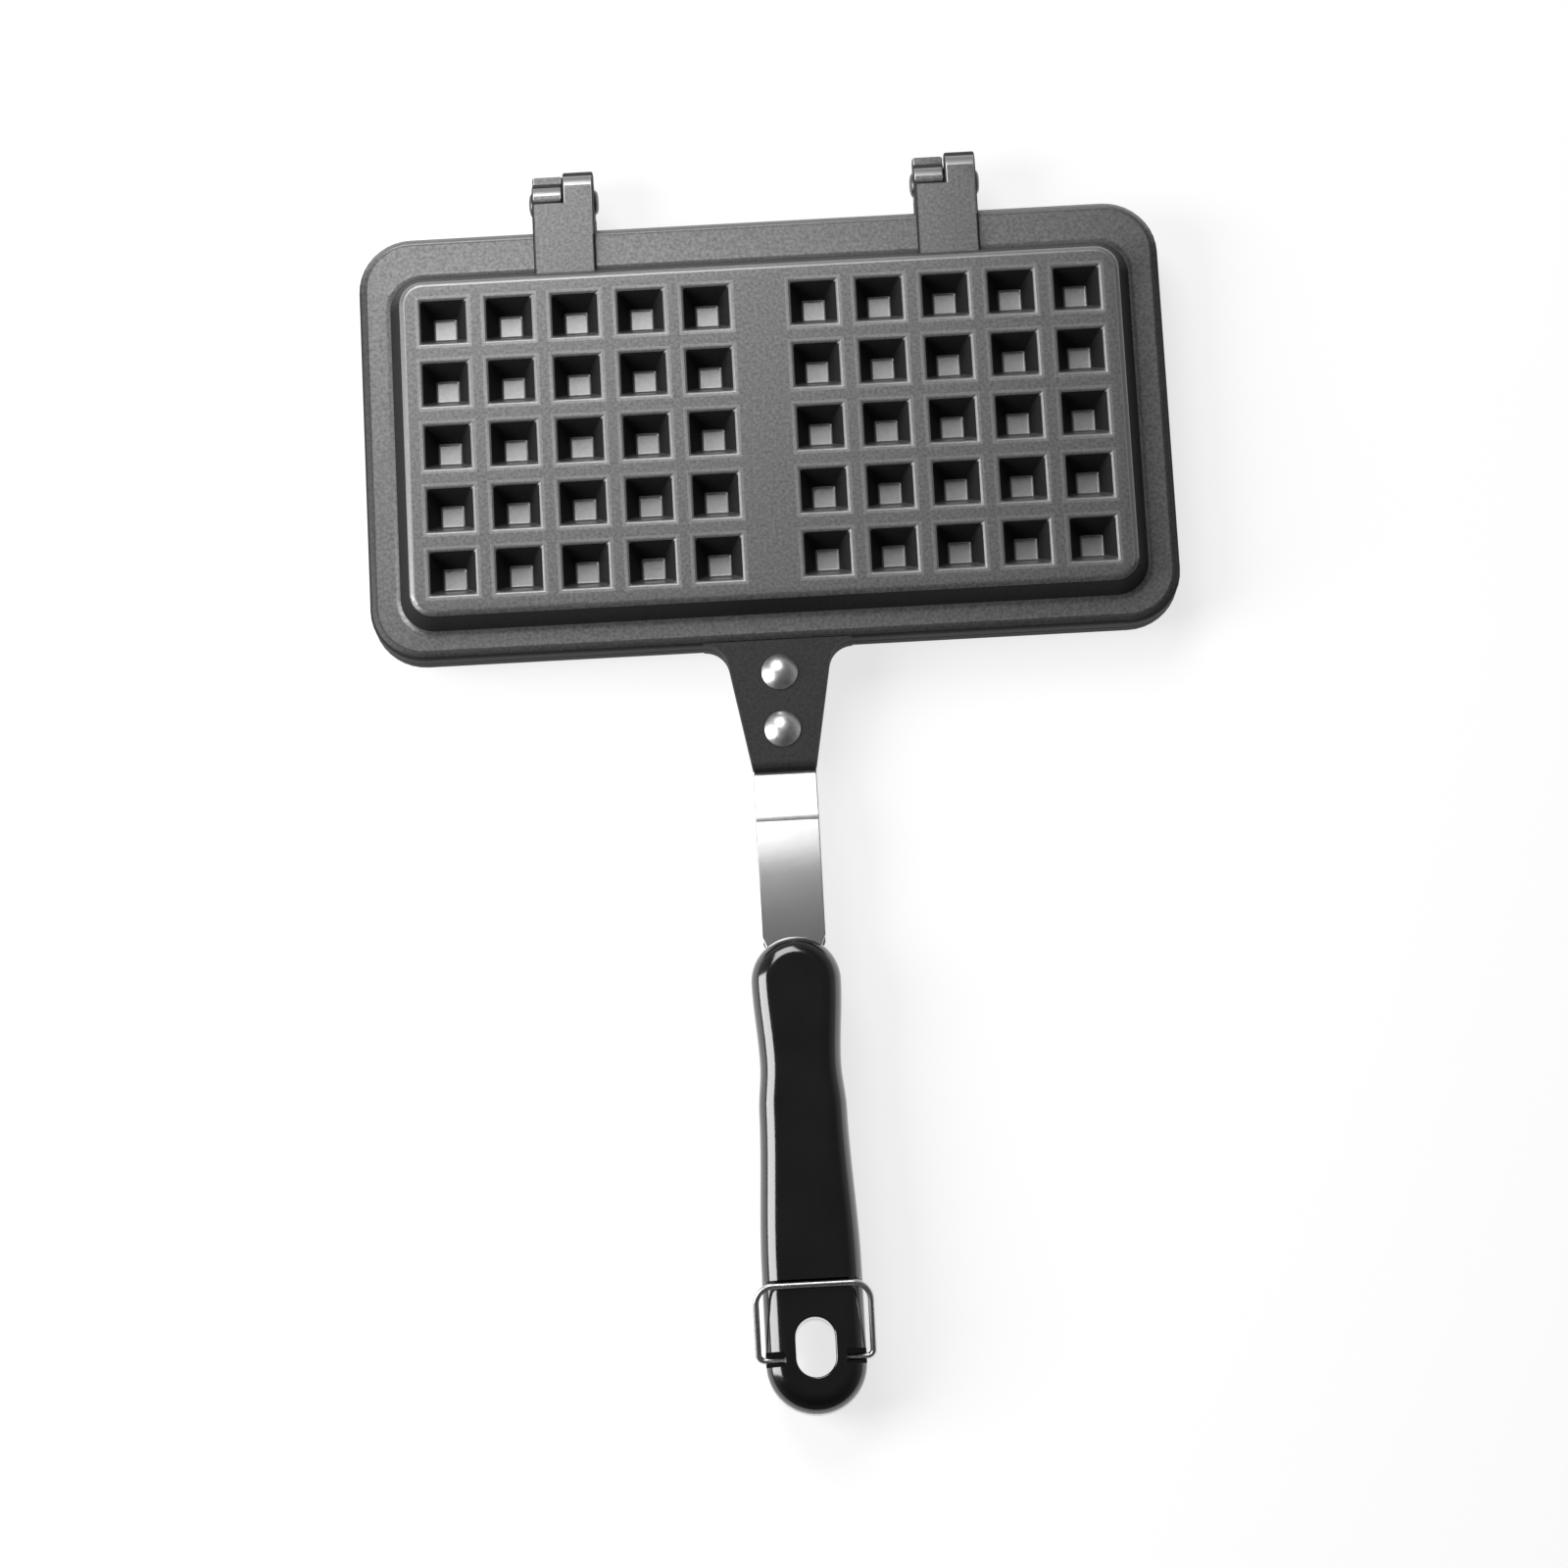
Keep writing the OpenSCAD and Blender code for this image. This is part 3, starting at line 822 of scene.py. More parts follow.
@dataclass
class Casting:
    """One of the two identical plate castings, drawn as the upper one."""

    grid: WaffleGrid = field(default_factory=WaffleGrid)
    margin: float = 5.7
    panel_h: float = 7.0
    panel_run: float = 3.6
    panel_r: float = 6.5
    flange_t: float = 6.5
    flange_side: float = 8.9
    flange_near: float = 7.6
    flange_far: float = 12.3
    flange_r: float = 15.5
    flange_edge: float = 2.5
    edge_steps: int = 8
    ceiling_t: float = 2.6
    wall_t: float = 3.0
    cavity_draft: float = 3.3
    cavity_r: float = 4.0
    corner_steps: int = 10
    panel_round: float = 1.3
    foot_fillet: float = 1.6
    pit_round: float = 0.65
    # Width of the band round each pit mouth that is lightened, as rubbing and painted highlight.
    rim_wear_and_highlight: float = 1.5
    post_round: float = 1.0
    parting_round: float = 0.5
    pit_low: float = 2.6
    lug_x: float = 55.8
    grades: ShadeHighlightWearGrades = ShadeHighlightWearGrades()

    def __post_init__(self) -> None:
        """Works out the outlines from the driving sizes."""
        grid = self.grid
        self.top = self.flange_t + self.panel_h
        self.face_x = grid.centres_x()[-1] + grid.mouth_x / 2 + self.margin
        self.face_y = grid.centres_y()[-1] + grid.mouth_y / 2 + self.margin
        self.foot_x = self.face_x + self.panel_run
        self.foot_y = self.face_y + self.panel_run
        self.rim_x = self.foot_x + self.flange_side
        self.near_y = -self.foot_y - self.flange_near
        self.far_y = self.foot_y + self.flange_far
        self.ceiling = self.top - self.ceiling_t
        slant = self.panel_run * self.ceiling_t / self.panel_h
        self.mouth_grow = slant - self.wall_t + self.cavity_draft

    def rounded_sheet(
        self, name: str, x: float, y0: float, y1: float, r: float, z: float
    ) -> Piece:
        """Adds a flat sheet with round corners, left in edit mode.

        Args:
            name: Name of the piece.
            x: Half width.
            y0: Near edge.
            y1: Far edge.
            r: Corner radius.
            z: Height.

        Returns:
            The sheet, all selected.
        """
        deselect()
        bpy.ops.mesh.primitive_plane_add(size=1.0)
        sheet = named(name)
        edit(sheet)
        bpy.ops.transform.resize(value=(2 * x * MM, (y1 - y0) * MM, 1))
        bpy.ops.transform.translate(value=(0, (y0 + y1) / 2 * MM, z * MM))
        bpy.ops.mesh.bevel(
            offset=r * MM, segments=self.corner_steps, affect="VERTICES", clamp_overlap=False
        )
        bpy.ops.mesh.select_all(action="SELECT")
        return sheet

    def flange(self) -> Piece:
        """Flange shell with a round outer edge, open towards the panel and the cavity.

        Returns:
            The shell.
        """
        shell = self.rounded_sheet("flange", self.rim_x, self.near_y, self.far_y, self.flange_r, 0)
        extrude(0, 0, self.flange_t - self.flange_edge)
        size = self.flange_edge * MM
        for inward, upward in quarter(self.edge_steps):
            bpy.ops.mesh.inset(thickness=inward * size, depth=upward * size)
        pick(Part.FACE, lambda face: abs(face.normal.z) > LEVEL)
        bpy.ops.mesh.delete(type="ONLY_FACE")
        done()
        return shell

    def panel(self) -> Piece:
        """Raised panel shell with its fifty pits.

        Returns:
            The shell.
        """
        grid = self.grid
        radius = self.panel_r + self.panel_run
        x, y = self.foot_x, self.foot_y
        shell = self.rounded_sheet("panel", x, -y, y, radius, self.flange_t)
        bpy.ops.mesh.inset(thickness=self.panel_run * MM, depth=self.panel_h * MM)
        half_x, half_y = grid.mouth_x / 2, grid.mouth_y / 2
        grid.rule(self.top, half_x, half_y)
        # Scores the band round each pit mouth that is lightened as rubbing and painted highlight.
        grid.rule(self.top, half_x + self.rim_wear_and_highlight, half_y + self.rim_wear_and_highlight)
        grid.sink(self.top, grid.lean, grid.depth)
        done()
        return shell

    def cavity(self) -> Piece:
        """Shell of the waffle cavity with the posts that stand in it.

        Returns:
            The shell, open at the parting plane.
        """
        grid = self.grid
        x, y = self.face_x + self.mouth_grow, self.face_y + self.mouth_grow
        shell = self.rounded_sheet("cavity", x, -y, y, self.cavity_r + self.cavity_draft, 0)
        bpy.ops.mesh.inset(thickness=self.cavity_draft * MM, depth=self.ceiling * MM)
        slope = grid.lean / grid.depth
        grow = grid.wall - slope * self.ceiling_t
        half_x, half_y = grid.mouth_x / 2 + grow, grid.mouth_y / 2 + grow
        grid.rule(self.ceiling, half_x, half_y)
        rise = grid.depth + grid.floor - self.ceiling_t
        grid.sink(self.ceiling, slope * rise, rise)
        done()
        return shell

    def shade_highlight_wear_of(self, face: bpy.types.MeshPolygon) -> float:
        """Gives a face's coat its grade of painted shade, painted highlight and rubbing.

        Args:
            face: Face of the finished casting, in its own frame.

        Returns:
            The grade, from 0 for painted shade to 1 for bare metal, as rubbing and painted
            highlight.
        """
        grid, grades = self.grid, self.grades
        place, tilt, hingeward = face.center / MM, face.normal.z, face.normal.y
        lug = place.y > self.far_y + 0.5
        knuckle = abs(tilt) > 0.8 and hingeward > -0.05
        lip = place.z > self.top - 0.7 and hingeward > 0.3
        wall = abs(tilt) < 0.75
        neck = place.y < self.near_y - 1.0
        flange = abs(place.x) > self.foot_x + 2.0 or abs(place.y) > self.foot_y + 2.0
        edge_wear_and_highlight = tilt < 0.995 and place.z > self.top - 1.5 and hingeward > -0.1
        if lug and abs(tilt) >= 0.99:
            return grades.plain
        # Knuckle faces turned up and not towards the grips get bare metal, as rubbing and painted
        # highlight; the rest of the lug gets painted shade.
        if lug:
            return grades.bare if knuckle else grades.lug
        # Top edges that face the hinge side, on the panel and round the pits, get a painted
        # highlight.
        if lip:
            return grades.lip
        # Steep walls get painted shade, lightened by painted light the more they face the hinge
        # side.
        if wall:
            return grades.wall + grades.gain * max(0.0, hingeward)
        # The neck gets painted shade.
        if neck:
            return grades.neck
        if tilt < 0:
            return grades.plain
        # The flange's rounded edge gets painted shade on the grips' side and a painted highlight
        # towards the hinge.
        if flange and tilt < LEVEL:
            return grades.flange + grades.gain * min(1.0, max(0.0, 3.0 * hingeward))
        # Rounded top edges that don't face the grips are lightened, as rubbing and painted
        # highlight.
        if edge_wear_and_highlight:
            return grades.edge
        # A band round each pit mouth is lightened a little, as rubbing and painted highlight.
        if place.z > self.top - 1.0:
            rim_x, rim_y = (m / 2 + self.rim_wear_and_highlight for m in (grid.mouth_x, grid.mouth_y))
            return grades.rim if grid.holds(place, rim_x, rim_y) else grades.plain
        # Pit floors are lightened, as painted light.
        in_pit = grid.holds(place, grid.mouth_x / 2, grid.mouth_y / 2)
        return grades.pit if in_pit and place.z > self.pit_low else grades.plain

    def mark_shade_highlight_wear(self, piece: Piece) -> None:
        """Stores each face's grade of painted shade, painted highlight and rubbing for the coat's
        colour.
        """
        grades = [self.shade_highlight_wear_of(face) for face in piece.data.polygons]
        piece.data.attributes.new(PAINTED_LIGHT_AND_WEAR, "FLOAT", "FACE").data.foreach_set("value", grades)

    def bridge_ring(self, height: float) -> None:
        """Bridges the two open loops at a height, with the inner one lifted meanwhile.

        Args:
            height: Height of the flat ring, in millimetres.
        """
        lift = 1.0
        beside = 0.05
        pick(
            Part.VERT,
            lambda v: v.is_boundary
            and abs(v.co.z / MM - height) < NEAR_MM
            and abs(v.co.x / MM) < self.foot_x + beside
            and abs(v.co.y / MM) < self.foot_y + beside,
        )
        bpy.ops.transform.translate(value=(0, 0, lift * MM))
        pick(Part.EDGE, lambda e: e.is_boundary and lies_at(e, height, height + lift))
        bpy.ops.mesh.bridge_edge_loops()
        pick(Part.VERT, lambda v: abs(v.co.z / MM - height - lift) < NEAR_MM)
        bpy.ops.transform.translate(value=(0, 0, -lift * MM))

    def plate(self) -> Piece:
        """Closed plate: flange, panel and cavity bridged together, with rounded edges.

        Returns:
            The plate, before its lugs and neck are added.
        """
        grid = self.grid
        plate, panel, cavity = self.flange(), self.panel(), self.cavity()
        work_on(plate, panel, cavity)
        bpy.ops.object.join()
        edit(plate)
        for height in (self.flange_t, 0.0):
            self.bridge_ring(height)
        turn_outwards()
        floors, tips = self.top - grid.depth, self.top - grid.depth - grid.floor
        half_x, half_y = grid.mouth_x / 2, grid.mouth_y / 2

        def bent(edge: object, *heights: float) -> bool:
            """Tells whether an edge is a corner that lies at one of some heights."""
            return lies_at(edge, *heights) and bend(edge) > CORNER

        def by_pit(edge: object, grow: float) -> bool:
            """Tells whether an edge lies within a pit's mouth, grown by a margin."""
            return grid.holds(middle(edge), half_x + grow, half_y + grow)

        bevel_edges(self.panel_round, 4, lambda e: bent(e, self.top) and not by_pit(e, 0))
        bevel_edges(self.pit_round, 3, lambda e: bent(e, self.top, floors) and by_pit(e, 0))
        grow, ceiling = grid.wall, self.ceiling
        bevel_edges(self.post_round, 3, lambda e: bent(e, ceiling, tips) and by_pit(e, grow))
        bevel_edges(self.foot_fillet, 3, lambda e: bent(e, self.flange_t))
        bevel_edges(self.parting_round, 2, lambda e: bent(e, 0.0))
        done()
        return plate


@dataclass
class Lug:
    """Split hinge lug: a knuckle on its right half and a notch on its left."""

    casting: Casting
    width: float = 18.0
    top: float = 9.0
    axis_out: float = 10.1
    knuckle_r: float = 6.0
    hook_out: float = 8.3
    hook_r: float = 6.5
    hook_drop: float = 0.5
    notch_back: float = 2.7
    gap: float = 0.3
    notch_clear: float = 0.3
    lug_clear: float = 0.2
    bore_r: float = 2.55
    edge: float = 0.9
    sunk: float = 0.5
    lap: float = 1.0

    def __post_init__(self) -> None:
        """Works out the hinge axis and the slab's root."""
        casting = self.casting
        self.axis_y = casting.far_y + self.axis_out
        slope = casting.panel_run / casting.panel_h
        self.root = casting.face_y + slope * (casting.top - self.top) - self.sunk
        self.rim = casting.far_y - casting.flange_edge

    def prism(self, name: str, outline: Sequence[Point], x0: float, x1: float) -> Piece:
        """Extrudes a side view across the lug and rounds the edges of its ends.

        Args:
            name: Name of the piece.
            outline: Side view as (y, z) points.
            x0: Left end.
            x1: Right end.

        Returns:
            The closed prism.
        """
        piece = drawn_out(name, [(x0, y, z) for y, z in outline], (x1 - x0, 0, 0))
        for end in (x0, x1):
            bevel_edges(
                self.edge,
                3,
                lambda e: all(abs(vert.co.x / MM - end) < NEAR_MM for vert in e.verts)
                and middle(e).y > self.root + self.sunk
                and bend(e) > SHARP,
            )
        done()
        return piece

    def slab_outline(self) -> list[Point]:
        """Side view of the slab that carries both halves, with its notch.

        Returns:
            The outline as (y, z) points.
        """
        radius = self.knuckle_r + self.notch_clear
        bite = math.degrees(math.acos(self.notch_back / radius))
        low = math.degrees(math.asin(self.lug_clear / radius))
        notch = arc((self.axis_y, 0), radius, 180 - bite, 180 - low, 10)
        deep = self.casting.flange_t - self.lap
        return [
            (self.root, deep),
            (self.rim, deep),
            (self.rim, self.lug_clear),
            *reversed(notch),
            (self.axis_y - self.notch_back, self.top),
            (self.root, self.top),
        ]

    def knuckle_outline(self) -> list[Point]:
        """Side view of the knuckle with its hook, drawn into the slab.

        Returns:
            The outline as (y, z) points.
        """
        corner = (self.axis_y + self.hook_out - self.hook_r, self.top - self.hook_r)
        step = math.degrees(math.asin(self.hook_drop / self.knuckle_r))
        start = math.degrees(math.asin(self.lug_clear / self.knuckle_r))
        deep = self.casting.flange_t - self.lap
        return [
            (self.rim, deep),
            (self.rim, self.lug_clear),
            *arc((self.axis_y, 0), self.knuckle_r, 180 - start, 360 - step, 32),
            (self.axis_y + self.hook_out, -self.hook_drop),
            *arc(corner, self.hook_r, 0, 90, 12),
            (self.rim, self.top),
        ]

    def build(self, centre_x: float) -> list[Piece]:
        """Builds the lug's solids.

        Args:
            centre_x: Place of the lug across the plate.

        Returns:
            The slab with its notch, and the knuckle.
        """
        left, right = centre_x - self.width / 2, centre_x + self.width / 2
        inner = centre_x + self.gap / 2
        slab = self.prism("lug_slab", self.slab_outline(), left, right)
        knuckle = self.prism("lug_knuckle", self.knuckle_outline(), inner, right)
        bore = cylinder("bore", self.bore_r, self.width, (right, self.axis_y, 0), 40, True)
        combine(knuckle, bore, Merge.CUT)
        return [slab, knuckle]


@dataclass
class Neck:
    """Cast tongue that holds the strap, with a channel underneath."""

    casting: Casting
    length: float = 37.4
    end_w: float = 17.6
    root_w: float = 31.0
    fillet: float = 7.0
    bottom: float = 0.3
    top: float = 5.5
    nose: float = 2.6
    strap_w: float = 18.2
    strap_t: float = 2.0
    strap_back: float = 1.4
    edge: float = 0.7
    lap: float = 1.0

    def outline(self) -> list[Point]:
        """Plan of the neck, from the near right corner round by the flange.

        Returns:
            The outline as (x, y) points.
        """
        near_y = self.casting.near_y
        end_y = near_y - self.length
        inside = near_y + self.casting.flange_edge + self.lap
        slope = (self.root_w - self.end_w) / 2 / self.length
        span = math.hypot(1, slope)
        centre = (self.root_w / 2 - slope * self.fillet + span * self.fillet, near_y - self.fillet)
        tilt = math.degrees(math.atan(slope))
        bend_in = arc(centre, self.fillet, 180 - tilt, 90, 10)
        right = [(self.end_w / 2, end_y), *bend_in, (centre[0], inside)]
        return right + [(-x, y) for x, y in reversed(right)]

    def build(self) -> Piece:
        """Builds the neck with upright sides, a round nose and its channel.

        Returns:
            The neck, reaching into the flange.
        """
        plan = [(x, y, self.bottom) for x, y in self.outline()]
        neck = drawn_out("neck", plan, (0, 0, self.top - self.bottom))
        end_y = self.casting.near_y - self.length
        bevel_edges(self.nose, 6, lambda e: self.at_end(e, end_y) and lies_at(e, self.top))
        bevel_edges(self.edge, 3, lambda e: bend(e) > SHARP and lies_at(e, self.top))
        bevel_edges(
            self.edge,
            3,
            lambda e: bend(e) > SHARP
            and self.at_end(e, end_y)
            and abs(e.verts[0].co.x - e.verts[1].co.x) < NEAR_MM * MM,
        )
        done()
        channel_end = self.casting.near_y - self.strap_back
        length = channel_end - end_y + 2 * self.lap
        size = (self.strap_w, length, 2 * (self.bottom + self.strap_t))
        combine(neck, block("channel", (0, channel_end - length / 2, 0), size), Merge.CUT)
        return neck

    @staticmethod
    def at_end(edge: object, end_y: float) -> bool:
        """Tells whether an edge lies in the neck's end face."""
        return all(abs(vert.co.y / MM - end_y) < NEAR_MM for vert in edge.verts)


@dataclass
class Plates:
    """Both castings with their lugs and necks."""

    finishes: Finishes

    def build(self) -> None:
        """Models the upper casting once and copies it, turned over, for the lower one."""
        casting = Casting()
        upper = casting.plate()
        extras = [Neck(casting).build()]
        for x in (-casting.lug_x, casting.lug_x):
            extras += Lug(casting).build(x)
        for extra in extras:
            combine(upper, extra, Merge.ADD)
        face_outwards(upper)
        casting.mark_shade_highlight_wear(upper)
        split_polygons(upper)
        upper.name = upper.data.name = "upper_casting"
        lower = copied(upper, "lower_casting")
        for piece, half in ((upper, Half.UPPER), (lower, Half.LOWER)):
            node = f"{half.value}_plate"
            finish_piece(piece, half, half.body, node, self.finishes.plate)


@dataclass
class Strap:
    """Bent steel strap from the neck into the grip."""

    finishes: Finishes
    casting: Casting
    neck: Neck
    width: float = 18.0
    thickness: float = 2.0
    lift: float = 0.3
    back: float = 1.5
    ramp_gap: float = 1.2
    ramp_len: float = 13.0
    ramp_rise: float = 3.7
    arch_len: float = 34.0
    arch_rise: float = 2.0
    tang_w: float = 12.0
    tang_len: float = 88.0
    shoulder_in: float = 7.0
    bend_run: float = 1.2
    dent_half: float = 0.7
    dent_deep: float = 0.22
    dent_fade: float = 12.0
    edge: float = 0.35

    def __post_init__(self) -> None:
        """Works out the strap's stations along the handle."""
        self.start = self.casting.near_y - self.back
        self.ramp_y = self.casting.near_y - self.neck.length - self.ramp_gap
        self.crease_y = self.ramp_y - self.ramp_len
        self.front_y = self.crease_y - self.arch_len
        self.base = self.lift + self.thickness / 2
        self.tang_z = self.base + self.ramp_rise + self.arch_rise

    def height(self, y: float) -> float:
        """Height of the strap's middle at a place along the handle.

        Args:
            y: Place along the handle.

        Returns:
            The height over the parting plane.
        """
        if y >= self.ramp_y:
            return self.base
        if y >= self.crease_y:
            return self.base + self.ramp_rise * (self.ramp_y - y) / self.ramp_len
        if y <= self.front_y:
            return self.tang_z
        return self.tang_z - self.arch_rise * ((y - self.front_y) / self.arch_len) ** 2

    def eased(self, y: float) -> float:
        """Height near a bend, rounded off."""
        spread = [self.bend_run * (k / 8 - 0.5) for k in range(9)]
        return sum(self.height(y + s) for s in spread) / len(spread)

    def dent(self, y: float) -> float:
        """Depth of the flat line that the press tool left at the crease.

        Args:
            y: Place along the handle.

        Returns:
            The depth, which fades out towards the grip.
        """
        past = self.crease_y - y - self.dent_half
        if past < 0:
            return self.dent_deep * max(0.0, 1 + past / (2 * self.dent_half))
        return self.dent_deep * max(0.0, 1 - past / self.dent_fade)

    def side_view(self) -> list[Point]:
        """Middle line of the strap, with its bends eased and the press tool's line in it.

        Returns:
            The line as (y, z) points, from the plate to the tang's end.
        """
        bends = [self.ramp_y - self.bend_run * k / 2 for k in range(-2, 3)]
        half, run, step = self.dent_half, self.bend_run, 0.1
        past = (-run, -half - step, -half, 0, half, half + step, run)
        bends += [self.crease_y - s for s in past]
        arch = [self.crease_y - self.arch_len * k / 12 for k in range(1, 13)]
        tang = [self.front_y - self.shoulder_in, self.front_y - self.tang_len]
        line = [(y, self.height(y)) for y in [self.start, *arch, *tang]]
        line += [(y, self.eased(y)) for y in bends]
        return sorted([(y, z - self.dent(y)) for y, z in line], reverse=True)

    def build(self, half: Half) -> None:
        """Draws the strap out station by station and gives it its thickness.

        Args:
            half: Half of the iron that it belongs to.
        """
        deselect()
        bpy.ops.mesh.primitive_plane_add(size=1.0)
        strap = named(f"{half.value}_strip")
        first, *others = self.side_view()
        edit(strap)
        pick(Part.VERT, lambda vert: vert.co.y > 0)
        bpy.ops.mesh.delete(type="VERT")
        bpy.ops.mesh.select_all(action="SELECT")
        bpy.ops.transform.resize(value=(self.width * MM, 1, 1))
        half_plane = 0.5
        bpy.ops.transform.translate(value=(0, half_plane + first[0] * MM, first[1] * MM))
        for here in others:
            shift = (0, (here[0] - first[0]) * MM, (here[1] - first[1]) * MM)
            bpy.ops.mesh.extrude_region_move(TRANSFORM_OT_translate={"value": shift})
            first = here
        step_y = self.front_y - self.shoulder_in
        pick(Part.VERT, lambda vert: vert.co.y / MM < step_y + NEAR_MM)
        bpy.ops.transform.resize(value=(self.tang_w / self.width, 1, 1), center_override=(0, 0, 0))
        done()
        apply_modifier(strap, "SOLIDIFY", thickness=self.thickness * MM, offset=0.0)
        limit = {"limit_method": "ANGLE", "angle_limit": math.radians(60)}
        apply_modifier(strap, "BEVEL", width=self.edge * MM, segments=2, **limit)
        face_outwards(strap)
        finish_piece(strap, half, half.body, f"{half.value}_strap", self.finishes.strap)


@dataclass
class Rivets:
    """Two domed rivets through the neck and the strap."""

    finishes: Finishes
    neck: Neck
    first: float = 9.0
    pitch: float = 16.6
    head_r: float = 5.4
    head_h: float = 2.4
    shank_r: float = 2.5
    tail_r: float = 3.8
    tail_h: float = 1.2
    tail_proud: float = 0.12
    tail_taper: float = 0.94
    lip: float = 0.35

    def rivet(self, y: float) -> Piece:
        """Builds one rivet from a sphere's cap, drawn down into shank and tail.

        Args:
            y: Its place along the handle.

        Returns:
            The closed rivet.
        """
        dome_r = (self.head_r**2 + self.head_h**2) / (2 * self.head_h)
        seat = self.neck.top
        deselect()
        bpy.ops.mesh.primitive_uv_sphere_add(segments=48, ring_count=48, radius=dome_r * MM)
        rivet = named("rivet")
        edit(rivet)
        bpy.ops.transform.translate(value=(0, y * MM, (seat + self.head_h - dome_r) * MM))
        lip = self.lip
        bpy.ops.mesh.bisect(
            plane_co=(0, 0, (seat + lip) * MM), plane_no=(0, 0, 1), use_fill=True, clear_inner=True
        )
        pick(Part.FACE, lambda face: lies_at(face, seat + lip))
        extrude(0, 0, -lip)
        cap_r = math.sqrt(dome_r**2 - (dome_r - self.head_h + lip) ** 2)
        bpy.ops.mesh.inset(thickness=(cap_r - self.shank_r) * MM)
        extrude(0, 0, self.neck.bottom + self.tail_h - seat)
        extrude(0, 0, -self.tail_h)
        flare = self.tail_r / self.shank_r
        bpy.ops.transform.resize(value=(flare, flare, 1))
        extrude(0, 0, -self.tail_proud)
        bpy.ops.transform.resize(value=(self.tail_taper, self.tail_taper, 1))
        done()
        return rivet

    def build(self, half: Half) -> None:
        """Builds the pair.

        Args:
            half: Half of the iron that it belongs to.
        """
        near_y = self.neck.casting.near_y
        pair = [self.rivet(near_y - self.first - k * self.pitch) for k in range(2)]
        work_on(*pair)
        bpy.ops.object.join()
        rivets = named(f"{half.value}_rivet_pair")
        face_outwards(rivets)
        finish_piece(rivets, half, half.body, f"{half.value}_rivets", self.finishes.rivet)


